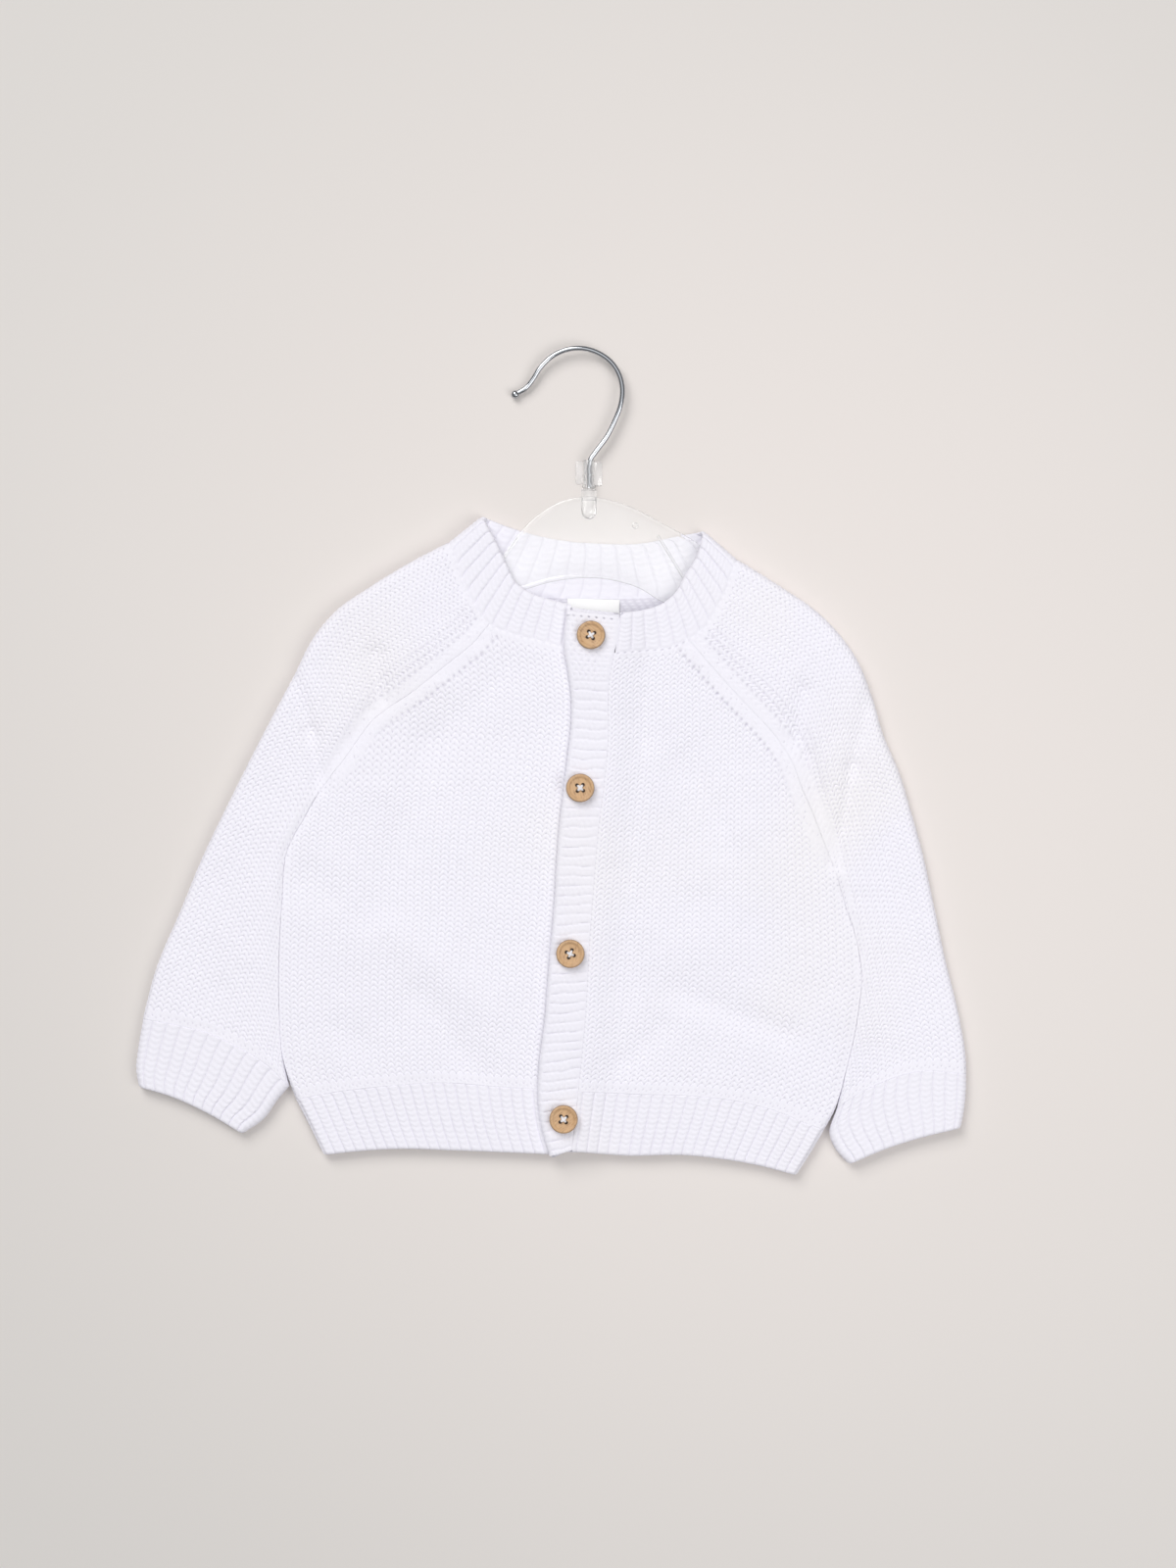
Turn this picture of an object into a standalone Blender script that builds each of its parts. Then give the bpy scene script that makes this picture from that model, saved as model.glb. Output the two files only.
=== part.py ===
"""A baby cardigan lying flat, front side up, with its clear child's hanger still in the neck.

It is a raglan knit: one back, two fronts and two sleeves knitted to shape, ribbed hems, cuffs and
neckband, two front bands, four buttons and a woven neck label. Every cloth piece is a closed wall,
worked out from its edge curves in plan and its height above the surface it lies on, z = 0.
+Y points to the hook and +X to the wearer's left. Sizes are in millimetres; MM turns them into metres.
"""
import math

import bmesh
import bpy
import numpy as np
from mathutils import Matrix, Vector

MM = 0.001
TURN_TO_Y = Matrix(((1, 0, 0), (0, 0, 1), (0, -1, 0)))   # a turn from +Z to +Y

# ------------------------------------------------------------------ driving sizes
KNIT_WALL = 2.4           # thickness of the knitted cloth
RIB_RELIEF = 0.6          # how far a rib stands up from its cloth
SEAM_GAP = 0.3            # open gap between two pieces
EDGE_ROUND = 0.4          # rounding of an edge that is only cut or linked
ROUND_FADE = 0.10         # share of a side over which its full round begins at the underarm
LAP_TUCK = 2.0            # how far the right front runs in under the buttonhole band
LAP_STEP = KNIT_WALL + 0.5
UNDER_BAND_INSET = 1.5    # how far the button band's edge lies inside the buttonhole band's
LAP_SLOPE = 18.0          # width over which the lapped front comes down from the band
NECK_TOP = 8.4            # top of the neckband where it lies over the hanger

BUTTON_DIAMETER = 13.0
BUTTON_THICKNESS = 2.6
BUTTON_HOLE = 1.8
BUTTON_HOLE_CIRCLE = 3.6
BUTTON_STEPS = 20
# The button's turned section: distance from the axis and height, as shares of radius and thickness.
BUTTON_PROFILE = [(0.0, 0.72), (0.62, 0.72), (0.76, 1.0), (0.90, 1.0), (1.0, 0.62), (0.97, 0.25),
                  (0.80, 0.0), (0.0, 0.0)]

PLATE_BOTTOM = 3.3        # the hanger rests on the ribs of the back neckband
PLATE_THICKNESS = 1.8
PLATE_RIM = 2.2           # width of the raised rim along the plate's edges
PLATE_RIM_HEIGHT = 2.4
BAR_WIDTH = 1.4           # stiffening bars across the plate
STEM_RADIUS = 3.5
WIRE_RADIUS = 1.2
BALL_RADIUS = 1.95

# ------------------------------------------------------------------ edge curves in plan
# Each row is a point: x, y. Right and left are the wearer's.
NECK_SEAM_RIGHT = [(7.0, 51.2), (-6.3, 54.7), (-18.0, 57.8), (-28.4, 62.3), (-36.0, 72.7),
                   (-42.0, 85.3), (-44.6, 94.4), (-47.2, 99.4)]       # front centre to shoulder fold
NECK_SEAM_LEFT = [(29.0, 48.9), (42.8, 50.2), (54.5, 51.5), (62.1, 55.1), (69.3, 60.1),
                  (74.7, 68.2), (80.0, 79.4), (82.6, 86.6), (84.9, 91.6)]
NECK_SEAM_BACK = [(-47.2, 99.4), (-44.2, 94.4), (-35.6, 84.4), (-19.4, 76.6), (3.2, 74.2),
                  (22.0, 73.8), (41.4, 74.2), (61.7, 76.2), (74.6, 81.2), (82.0, 86.8),
                  (84.9, 91.6)]                                       # right fold to left fold
NECK_EDGE_RIGHT = [(9.2, 70.9), (-0.9, 73.6), (-9.0, 76.3), (-15.8, 80.8), (-21.2, 91.1),
                   (-26.5, 102.0), (-31.8, 111.6)]
NECK_EDGE_LEFT = [(31.3, 67.3), (41.9, 68.6), (50.9, 71.8), (56.7, 76.7), (61.2, 84.8),
                  (65.9, 92.4), (69.6, 104.8)]
NECK_EDGE_BACK = [(-31.8, 111.6), (-17.1, 106.0), (5.4, 100.6), (22.0, 99.2), (39.2, 99.2),
                  (57.2, 102.6), (69.6, 104.8)]
RAGLAN_AT = {"right": 0.47, "left": 0.44}            # where the raglans meet the front neck seam
BACK_RAGLAN_AT = {"right": 0.19, "left": 0.863}      # and the back neck seam
SLEEVE_UNDERARM = {"right": 0.47, "left": 0.43}      # where the underarm lies along a sleeve
BACK_UNDERARM = 0.53                                 # and along the back

RAGLAN_RIGHT = [(-105.8, -13.7), (-100.4, -6.5), (-94.5, 1.1), (-87.8, 10.6), (-81.9, 18.2),
                (-75.6, 23.2), (-65.7, 29.6), (-48.6, 43.0), (-34.5, 54.8)]       # underarm upwards
RAGLAN_LEFT = [(130.1, -51.5), (124.2, -36.2), (119.7, -24.5), (114.8, -13.3), (109.4, 0.2),
               (102.2, 11.0), (93.6, 20.4), (82.8, 31.9), (72.5, 43.4)]
BACK_RAGLAN_RIGHT = [(-105.8, -13.7), (-86.9, 13.7), (-64.4, 38.5), (-43.0, 61.0)]
BACK_RAGLAN_LEFT = [(130.1, -51.5), (119.3, -24.5), (106.7, 4.7), (90.9, 38.5), (78.0, 61.0)]

SIDE_RIGHT = [(-117.0, -155.5), (-119.3, -149.2), (-123.3, -134.8), (-124.7, -114.5),
              (-124.7, -88.9), (-123.3, -63.7), (-120.6, -40.3), (-113.9, -27.7), (-105.8, -13.7)]
SIDE_LEFT = [(124.7, -169.4), (129.2, -160.9), (134.6, -142.9), (138.2, -128.0), (140.4, -115.4),
             (141.8, -101.9), (141.0, -90.0), (139.1, -80.8), (134.6, -67.3), (130.1, -51.5)]
SLEEVE_INNER_RIGHT = [(-120.2, -149.4), (-124.2, -134.8), (-125.6, -114.5), (-125.6, -88.9),
                      (-124.2, -63.7), (-121.5, -40.0), (-114.8, -26.8), (-105.8, -13.7)]
SLEEVE_INNER_LEFT = [(130.6, -159.5), (135.6, -142.9), (139.2, -128.0), (141.4, -115.4),
                     (142.8, -101.9), (142.0, -89.6), (140.1, -80.2), (135.6, -66.8), (130.1, -51.5)]
SLEEVE_OUTER_RIGHT = [(-187.2, -118.6), (-181.4, -96.5), (-170.1, -69.5), (-158.9, -42.5),
                      (-147.6, -19.1), (-136.8, 2.5), (-127.4, 20.5), (-117.9, 38.5),
                      (-108.5, 56.5), (-97.0, 69.6), (-86.4, 76.9), (-64.8, 90.2), (-47.2, 99.4)]
SLEEVE_OUTER_LEFT = [(189.9, -143.8), (189.2, -132.5), (186.6, -118.0), (179.8, -89.8), (174.6, -65.0),
                     (169.7, -42.5), (164.7, -24.5), (159.3, -6.5), (151.7, 11.5), (146.7, 28.6),
                     (138.2, 48.2), (123.3, 66.0), (104.8, 79.2), (84.9, 91.6)]
CUFF_TOP_RIGHT = [(-120.2, -149.4), (-130.5, -139.5), (-143.5, -131.5), (-156.6, -125.3),
                  (-171.0, -121.5), (-187.2, -118.6)]                 # underarm seam to outer fold
CUFF_TOP_LEFT = [(130.6, -159.5), (136.8, -154.9), (148.0, -148.9), (169.6, -142.4), (189.9, -143.8)]
CUFF_EDGE_RIGHT = [(-141.6, -171.2), (-157.1, -162.0), (-174.6, -154.0), (-189.0, -149.8)]
CUFF_EDGE_LEFT = [(136.4, -185.2), (151.7, -178.6), (169.7, -172.8), (187.3, -168.6)]
CUFF_INNER_RIGHT = [(-141.6, -171.2), (-131.9, -164.4), (-125.4, -155.5), (-120.2, -149.4)]
CUFF_INNER_LEFT = [(136.4, -185.2), (130.6, -179.0), (127.4, -172.0), (130.6, -159.5)]
CUFF_OUTER_RIGHT = [(-189.0, -149.8), (-190.3, -141.5), (-189.5, -132.5), (-187.2, -118.6)]
CUFF_OUTER_LEFT = [(187.3, -168.6), (189.0, -159.5), (189.7, -152.5), (189.9, -143.8)]

LAP_EDGE = [(-0.8, -181.8), (-4.6, -168.5), (-6.3, -155.0), (-5.9, -141.5), (-3.2, -119.0),
            (-1.4, -96.5), (0.9, -69.5), (3.2, -33.5), (6.8, -2.0), (9.0, 19.1), (9.0, 27.2),
            (7.7, 38.5), (5.6, 51.5), (7.2, 69.6)]                    # hem to neck
BAND_EDGE = [(9.2, -179.0), (12.2, -150.5), (14.9, -123.5), (17.6, -78.5), (21.2, -33.5),
             (25.7, 7.0), (26.6, 38.5), (28.6, 48.8), (30.6, 58.0), (31.0, 67.3)]
HEM_TOP_RIGHT = [(-117.0, -155.5), (-102.2, -152.6), (-73.4, -149.2), (-51.3, -147.8),
                 (-24.0, -149.6), (-4.2, -150.8)]                     # side to front centre
HEM_TOP_LEFT = [(124.7, -169.4), (118.4, -167.2), (103.0, -160.9), (87.8, -156.8),
                (65.3, -153.9), (38.0, -153.0), (12.2, -151.6)]
HEM_TOP_BACK = [(-117.0, -155.5), (-73.0, -149.5), (-20.0, -149.8), (50.0, -153.2),
                (100.0, -160.5), (124.7, -169.4)]
HEM_EDGE_RIGHT = [(-104.3, -180.9), (-92.6, -179.5), (-75.7, -178.2), (-42.1, -178.9), (-2.2, -180.6)]
HEM_EDGE_LEFT = [(112.0, -190.2), (95.0, -185.8), (79.1, -183.0), (62.0, -181.2), (32.9, -181.4),
                 (9.2, -179.4)]
HEM_EDGE_BACK = [(-104.3, -180.9), (-75.7, -177.8), (-20.0, -179.0), (32.9, -180.6), (62.0, -180.8),
                 (95.0, -185.6), (112.0, -190.2)]
HEM_SIDE_RIGHT = [(-104.3, -180.9), (-112.0, -165.2), (-117.0, -155.5)]
HEM_SIDE_LEFT = [(112.0, -190.2), (119.9, -177.8), (124.7, -169.4)]

# ------------------------------------------------------------------ heights
# The top of the front layer, by y: at the side edges and at the front centre.
SIDE_TOP = [(-190.0, 5.6), (-150.0, 6.1), (-60.0, 6.6), (10.0, 7.0), (50.0, 8.4)]
CENTRE_TOP = [(-182.0, 6.0), (-150.0, 6.4), (-100.0, 6.8), (10.0, 7.0), (50.0, 8.4)]
# The top of a sleeve, from the cuff (0) to the neck (1).
SLEEVE_TOP = [(0.0, 5.8), (0.3, 6.2), (0.5, 6.6), (0.7, 8.0), (0.78, 8.4), (1.0, 8.4)]
FRONT_EASE = 0.45         # share of a front over which its top goes from the side's to the centre's
SLEEVE_EASE = 0.4         # and share of a sleeve over which it leaves the raglan's
# Soft folds: a line from x, y to x, y, its height (below zero for a trough) and its half width.
FOLDS = [
    (-80.5, 48.0, -78.0, 28.0, -1.6, 5.0),        # dent in the right sleeve head
    (-83.0, 22.0, -104.0, -8.0, -1.2, 4.0),       # its crease down to the underarm
    (-117.5, 36.0, -110.3, 12.4, -1.3, 4.5),      # crease across the right upper arm
    (-110.3, 12.4, -105.8, -13.7, -1.3, 3.5),
    (115.5, 31.0, 113.0, 10.0, -1.5, 5.0),        # the same three on the left
    (117.0, 2.0, 129.0, -46.0, -1.2, 4.0),
    (146.0, 31.0, 138.0, -4.0, -1.3, 4.5),
    (138.0, -4.0, 130.1, -48.0, -1.4, 3.5),
    (-21.0, 42.0, -55.4, 7.0, -0.7, 9.0),         # long trough down the right chest
    (-55.4, 7.0, -80.0, -69.5, -0.9, 9.0),
    (-109.0, -56.0, -104.0, -62.0, -0.9, 9.0),
    (-96.0, -122.0, -92.0, -128.0, -0.7, 8.0),
    (-73.4, -78.5, -30.0, -112.0, 0.9, 10.0),     # ridge above the right hem and its trough
    (-60.0, -108.0, -32.0, -142.0, -0.9, 8.0),
    (61.7, -2.0, 82.0, -38.0, -1.0, 8.0),         # left chest
    (88.7, -33.5, 90.9, -66.0, 0.7, 8.0),
    (57.2, -105.5, 106.0, -125.0, -1.2, 7.0),     # above the left hem
    (34.7, -137.0, 50.0, -123.5, -0.8, 6.0),
    (36.0, 17.0, 42.0, 10.0, -0.7, 7.0),
]

# ------------------------------------------------------------------ counts
HEM_RIBS = 21             # in each front's hem
HEM_SPAN = {"right": (0.02, 0.965), "left": (0.02, 0.98)}   # where its ribs start and end
CUFF_RIBS = 12            # on the side of a cuff that shows
NECK_RIBS = {"right": 12, "back": 17, "left": 12}
NECK_RIB_START = {"right": 0.032, "left": 0.01}     # clear of the buttonhole band
BAND_RIDGES = 48
RIDGE_SPAN = (0.012, 0.87)   # where the ridges start and end along the buttonhole band
RIDGE_TOP = 39.0          # their upper end, as y
RIDGE_SIDES = (0.12, 0.93)   # and how far they reach across it
SIDE_ROWS = 9             # rows of points from the hem rib to the underarm
RAGLAN_ROWS = 7           # and from the underarm to the neck
ROUND_STEPS = 3           # facets in a quarter round

# ------------------------------------------------------------------ buttons, label, hanger
BUTTONS = [(18.0, 56.9), (13.1, -12.8), (8.6, -88.4), (5.5, -163.9)]             # x, y
LABEL_CENTRE = (19.8, 65.2)
LABEL_SIZE = (24.0, 15.6, 0.8)
LABEL_TURN = -1.5         # degrees

HANGER_TOP = [(-70.0, 64.0), (-48.0, 79.0), (-23.4, 93.0), (-14.9, 103.7), (-5.9, 112.4),
              (3.0, 117.8), (17.0, 120.6), (31.0, 117.8), (53.1, 107.0), (66.6, 99.3), (76.0, 90.4),
              (88.7, 80.6), (103.5, 67.2)]                            # right tip to left tip
HANGER_LOW = [(100.0, 61.0), (82.0, 66.5), (66.0, 68.5), (49.5, 72.9), (41.0, 78.2), (29.7, 81.9),
              (15.3, 83.4), (2.2, 82.0), (-13.1, 77.8), (-30.0, 72.0), (-48.0, 64.5), (-67.0, 58.0)]
HANGER_BARS = [((-15.3, 101.5), (-27.0, 84.9)), ((48.6, 102.8), (60.4, 83.4))]   # start and end
STEM_X = 17.1
STEM_BOTTOM = 112.5
STEM_TOP = 124.0
CLIP_SIZE = (12.6, 13.0, 6.8)
CLIP_BORE = WIRE_RADIUS + 1.0
CLIP_BORE_X = 17.4
# The hook's wire: x, y, z along its middle.
HOOK = [(17.1, 124.7, 4.2), (17.1, 129.0, 4.2), (17.1, 133.4, 4.2), (17.6, 137.1, 4.2), (20.2, 141.1, 4.2),
        (25.2, 147.9, 4.3), (28.9, 155.3, 4.5), (31.5, 162.2, 4.8), (32.4, 169.4, 5.0),
        (31.1, 175.9, 5.0), (27.5, 181.8, 5.0), (21.6, 186.2, 4.9), (13.4, 188.5, 4.8),
        (5.4, 187.4, 4.5), (-1.2, 183.8, 4.0), (-5.6, 179.2, 3.5), (-8.9, 174.0, 3.0),
        (-12.0, 170.4, 2.5), (-16.0, 168.0, 2.2)]
HOOK_POINTS = 40
BALL_CENTRE = (-16.7, 167.6, 2.1)


# ------------------------------------------------------------------ curves and patches
def curve(table):
    """A smooth curve through a table's rows, read at fractions 0 to 1 of its length along the rows."""
    rows = np.asarray(table, float)
    knots = np.concatenate(([0.0], np.cumsum(np.linalg.norm(np.diff(rows, axis=0), axis=1))))
    knots = knots / knots[-1]
    slopes = np.gradient(rows, knots, axis=0)

    def at(t):
        t = np.clip(np.asarray(t, float), 0.0, 1.0)
        k = np.clip(np.searchsorted(knots, t, side="right") - 1, 0, len(knots) - 2)
        step = (knots[k + 1] - knots[k])[..., None]
        s = (t - knots[k])[..., None] / step
        return ((1 + 2 * s) * (1 - s) ** 2 * rows[k] + s * (1 - s) ** 2 * step * slopes[k]
                + s * s * (3 - 2 * s) * rows[k + 1] + s * s * (s - 1) * step * slopes[k + 1])
    return at


def stretch(line, start, end):
    """The part of a curve between two of its fractions."""
    return lambda t: line(start + (end - start) * np.asarray(t, float))


def straight(start, end):
    """The straight line between two points."""
    return lambda t: start + (end - start) * np.asarray(t, float)[..., None]


def joined(first, second, share):
    """Two curves end to end, the first taking that share of the fractions."""
    def at(t):
        t = np.asarray(t, float)
        low = first(t / share)
        high = second((t - share) / (1 - share))
        return np.where((t < share)[..., None], low, high)
    return at


def shifted(line, across):
    """A curve moved along x."""
    return lambda t: line(t) + np.array([across, 0.0])


def level_at(line, y):
    """The fraction at which a curve that runs upwards reaches the height y."""
    t = np.linspace(0.0, 1.0, 801)
    return float(np.interp(y, line(t)[:, 1], t))


def patch(bottom, top, left, right):
    """Plan points between four edge curves: u runs from left to right, v from bottom to top."""
    def at(u, v):
        u, v = np.broadcast_arrays(u, v)
        a, b = u[..., None], v[..., None]
        corners = ((1 - a) * (1 - b) * bottom(0.0) + a * (1 - b) * bottom(1.0)
                   + (1 - a) * b * top(0.0) + a * b * top(1.0))
        return (1 - b) * bottom(u) + b * top(u) + (1 - a) * left(v) + a * right(v) - corners
    return at


def read(table, value):
    """A table of two columns, read between its rows."""
    rows = np.asarray(table, float)
    return np.interp(value, rows[:, 0], rows[:, 1])


def folds(x, y):
    """The sum of all soft folds: each falls off as a bell curve away from its line."""
    total = np.zeros(np.shape(x))
    for x0, y0, x1, y1, height, reach in FOLDS:
        dx, dy = x1 - x0, y1 - y0
        t = np.clip(((x - x0) * dx + (y - y0) * dy) / (dx * dx + dy * dy), 0.0, 1.0)
        away = np.hypot(x - x0 - t * dx, y - y0 - t * dy)
        total = total + height * np.exp(-(away / reach) ** 2)
    return total


def ease(t):
    """A smooth step from 0 to 1."""
    t = np.clip(t, 0.0, 1.0)
    return t * t * (3 - 2 * t)


def resting(height):
    """A top height, no lower than an upper layer lying on the one below it."""
    return np.maximum(height, 2 * KNIT_WALL + SEAM_GAP)


def side_top(x, y):
    """The top of the cloth along a side edge or a raglan, the same on both sides of it."""
    return resting(read(SIDE_TOP, y) + folds(x, y))


def centre_top(x, y):
    """The top of the cloth along the front centre."""
    return resting(read(CENTRE_TOP, y) + folds(x, y))


def front_top(u, x, y):
    """The top of the front layer: u is 0 at the side edge and 1 at the front centre."""
    return side_top(x, y) + ease(u / FRONT_EASE) * (centre_top(x, y) - side_top(x, y))


def sleeve_top(u, v, x, y):
    """The top of a sleeve: u is 0 at the raglan and 1 at the outer fold, v is 0 at the cuff."""
    body = resting(read(SLEEVE_TOP, v) + folds(x, y))
    return side_top(x, y) + ease(u / SLEEVE_EASE) * (body - side_top(x, y))


def lap_lift(x, y):
    """How far the lapped front is raised where it joins the buttonhole band."""
    t = np.linspace(0.0, 1.0, 401)
    edge = BAND_LINE(t)
    away = x - np.interp(y, edge[:, 1], edge[:, 0])
    return LAP_STEP * (1 - ease(away / LAP_SLOPE))


def ribs(count, start=0.0, end=1.0):
    """Stations and heights of ribs: a groove, a crest, a groove, and so on, from start to end."""
    stations = np.linspace(start, end, 2 * count + 1)
    relief = np.where(np.arange(2 * count + 1) % 2 == 1, RIB_RELIEF, 0.0)
    if start > 0:
        stations, relief = np.append(0.0, stations), np.append(0.0, relief)
    if end < 1:
        stations, relief = np.append(stations, 1.0), np.append(relief, 0.0)
    return stations, relief


# ------------------------------------------------------------------ cloth walls
def layer(plan, rows, stations, top, first=EDGE_ROUND, last=EDGE_ROUND, steps=(1, 1), ends=SEAM_GAP,
          sides=(SEAM_GAP, SEAM_GAP), relief=0.0, under=False):
    """One thickness of cloth over a patch, as an outer and an inner grid of points.

    rows are fractions v and stations fractions u. Both side edges are rounded, by a radius for
    each row. top gives the height of the upper face. An under layer lies on z = 0 instead, turned
    over, and its ribs rise on the face that looks up. ends and sides are the gaps left at the edges.
    """
    rows = np.asarray(rows, float)[:, None]
    along = plan(np.linspace(0.0, 1.0, 25)[None, :], rows)
    width = np.linalg.norm(np.diff(along, axis=1), axis=-1).sum(axis=1)[:, None]
    relief = np.broadcast_to(relief, (len(rows), len(stations)))

    def side(radius, facets):
        radius = np.broadcast_to(np.asarray(radius, float).reshape(-1, 1), (len(rows), 1))
        angle = np.linspace(0.0, math.pi / 2, facets + 1)
        inside = np.maximum(radius - KNIT_WALL, EDGE_ROUND / 2)
        centre = np.maximum(radius, EDGE_ROUND)
        return (radius * (1 - np.cos(angle)), radius * (1 - np.sin(angle)),
                centre - inside * np.cos(angle), KNIT_WALL + inside * (1 - np.sin(angle)))

    near, near_drop, near_in, near_in_drop = side(first, steps[0])
    far, far_drop, far_in, far_in_drop = side(last, steps[1])
    middle = np.asarray(stations, float)[None, 1:-1]
    flat = np.zeros((len(rows), middle.shape[1]))

    def row(start, stop, drop_start, drop_stop, drop):
        start = sides[0] / 2 + start
        stop = width - sides[1] / 2 - stop[:, ::-1]
        between = start[:, -1:] + (stop[:, :1] - start[:, -1:]) * middle
        return (np.hstack((start, between, stop)) / width,
                np.hstack((drop_start, flat + drop, drop_stop[:, ::-1])))

    u_out, drop_out = row(near, far, near_drop, far_drop, 0.0)
    u_in, drop_in = row(near_in, far_in, near_in_drop, far_in_drop, KNIT_WALL)
    raised = np.hstack((np.zeros((len(rows), steps[0])), relief, np.zeros((len(rows), steps[1]))))
    grids = []
    lift_out, lift_in = (0.0, raised) if under else (raised, 0.0)
    for u, drop, lift in ((u_out, drop_out, lift_out), (u_in, drop_in, lift_in)):
        share = ends / np.linalg.norm(plan(u, 1.0) - plan(u, 0.0), axis=-1)
        v = share / 2 + rows * (1 - share)
        place = plan(u, v)
        z = drop + lift if under else top(u, v, place[..., 0], place[..., 1]) - drop + lift
        grids.append(np.dstack((place, z)))
    return grids


def fold_over(*layers):
    """Layers joined side by side: each next one starts on the column where the last one ends."""
    grids = list(layers[0])
    for outer, inner in layers[1:]:
        grids = [np.concatenate((grids[0], outer[:, 1:]), axis=1),
                 np.concatenate((grids[1], inner[:, 1:]), axis=1)]
    return grids


def turned(pair):
    """A layer read from its last column to its first."""
    return pair[0][:, ::-1], pair[1][:, ::-1]


def new_object(name, mesh, material):
    """An object of the cardigan, with its material, under the cardigan's empty."""
    obj = bpy.data.objects.new(name, mesh)
    mesh.materials.clear()
    mesh.materials.append(material)
    PARTS.objects.link(obj)
    obj.parent = ROOT
    return obj


def cloth(name, grids, material):
    """A closed wall between an outer and an inner grid of points, with a rim all round."""
    outer, inner = grids
    count_v, count_u = outer.shape[:2]
    number = np.arange(count_v * count_u).reshape(count_v, count_u)
    below = number + count_v * count_u
    faces = []
    for grid, order in ((number, 1), (below, -1)):
        quads = np.stack((grid[:-1, :-1], grid[:-1, 1:], grid[1:, 1:], grid[1:, :-1]), axis=-1)
        faces += quads.reshape(-1, 4)[:, ::order].tolist()
    loop = np.concatenate((number[0, :-1], number[:-1, -1], number[-1, :0:-1], number[:0:-1, 0]))
    after = np.roll(loop, -1)
    shift = count_v * count_u
    faces += np.stack((after, loop, loop + shift, after + shift), axis=-1).tolist()
    mesh = bpy.data.meshes.new(name)
    points = np.concatenate((outer.reshape(-1, 3), inner.reshape(-1, 3))) * MM
    mesh.from_pydata(points.tolist(), [], faces)
    solid = bmesh.new()
    solid.from_mesh(mesh)
    bmesh.ops.recalc_face_normals(solid, faces=solid.faces)
    solid.to_mesh(mesh)
    solid.free()
    mesh.shade_smooth()
    mesh.set_sharp_from_angle(angle=math.radians(50))
    return new_object(name, mesh, material)


# ------------------------------------------------------------------ shared edge lines
NECK_RIGHT, NECK_LEFT, NECK_BACK = curve(NECK_SEAM_RIGHT), curve(NECK_SEAM_LEFT), curve(NECK_SEAM_BACK)
BAND_LINE = curve(BAND_EDGE)
LAP_LINE = curve(LAP_EDGE)
TUCK_LINE = shifted(LAP_LINE, LAP_TUCK)


def with_top(table, point):
    """A raglan's curve, carried on to its place on a neck seam."""
    return curve(list(table) + [tuple(point)])


def levels(share):
    """Row fractions with a row at the underarm: even below it and even above it."""
    below = np.linspace(0.0, share, SIDE_ROWS)
    above = np.linspace(share, 1.0, RAGLAN_ROWS)
    return np.concatenate((below, above[1:]))


def side_round(v, share, half_height):
    """A side edge's radius: half the height below the underarm, nearly square along the raglan."""
    below = ease((share - np.asarray(v)) / ROUND_FADE)
    return EDGE_ROUND + (half_height - SEAM_GAP / 2 - EDGE_ROUND) * below


# ------------------------------------------------------------------ the pieces
def fronts_and_hems(knit, rib):
    """The two fronts and their ribbed hems."""
    sizes = {
        "right": (SIDE_RIGHT, RAGLAN_RIGHT, NECK_RIGHT, HEM_TOP_RIGHT, HEM_EDGE_RIGHT, HEM_SIDE_RIGHT),
        "left": (SIDE_LEFT, RAGLAN_LEFT, NECK_LEFT, HEM_TOP_LEFT, HEM_EDGE_LEFT, HEM_SIDE_LEFT),
    }
    for hand, (side, raglan, neck, hem_top, hem_edge, hem_side) in sizes.items():
        centre = TUCK_LINE if hand == "right" else BAND_LINE
        at = RAGLAN_AT[hand]
        hem_line = curve(hem_top)
        top_line = stretch(neck, at, 0.0)
        up_to = level_at(centre, neck(0.0)[1])
        down_to = level_at(centre, hem_line(1.0)[1])
        middle = stretch(centre, down_to, up_to)
        share = level_at(middle, side[-1][1])
        edge = joined(curve(side), with_top(raglan, neck(at)), share)
        plan = patch(hem_line, top_line, edge, middle)

        def top(u, v, x, y, lapped=hand == "left"):
            return front_top(u, x, y) + (lap_lift(x, y) if lapped else 0.0)

        rows = levels(share)
        half = side_top(*edge(rows).T) / 2
        cloth("front_" + hand,
              layer(plan, rows, np.linspace(0, 1, 14), top, first=side_round(rows, share, half),
                    steps=(ROUND_STEPS, 1), sides=(SEAM_GAP, 2 * SEAM_GAP)), knit)

        hem_centre = stretch(centre, level_at(centre, hem_edge[-1][1]), down_to)
        hem_plan = patch(curve(hem_edge), hem_line, curve(hem_side), hem_centre)
        hem_rows = np.linspace(0, 1, 3)
        half = side_top(*curve(hem_side)(hem_rows).T) / 2 - SEAM_GAP / 2
        stations, relief = ribs(HEM_RIBS, *HEM_SPAN[hand])
        cloth("hem_front_" + hand,
              layer(hem_plan, hem_rows, stations, top, first=half, steps=(ROUND_STEPS, 1),
                    sides=(SEAM_GAP, 2 * SEAM_GAP), relief=relief), rib)


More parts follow.
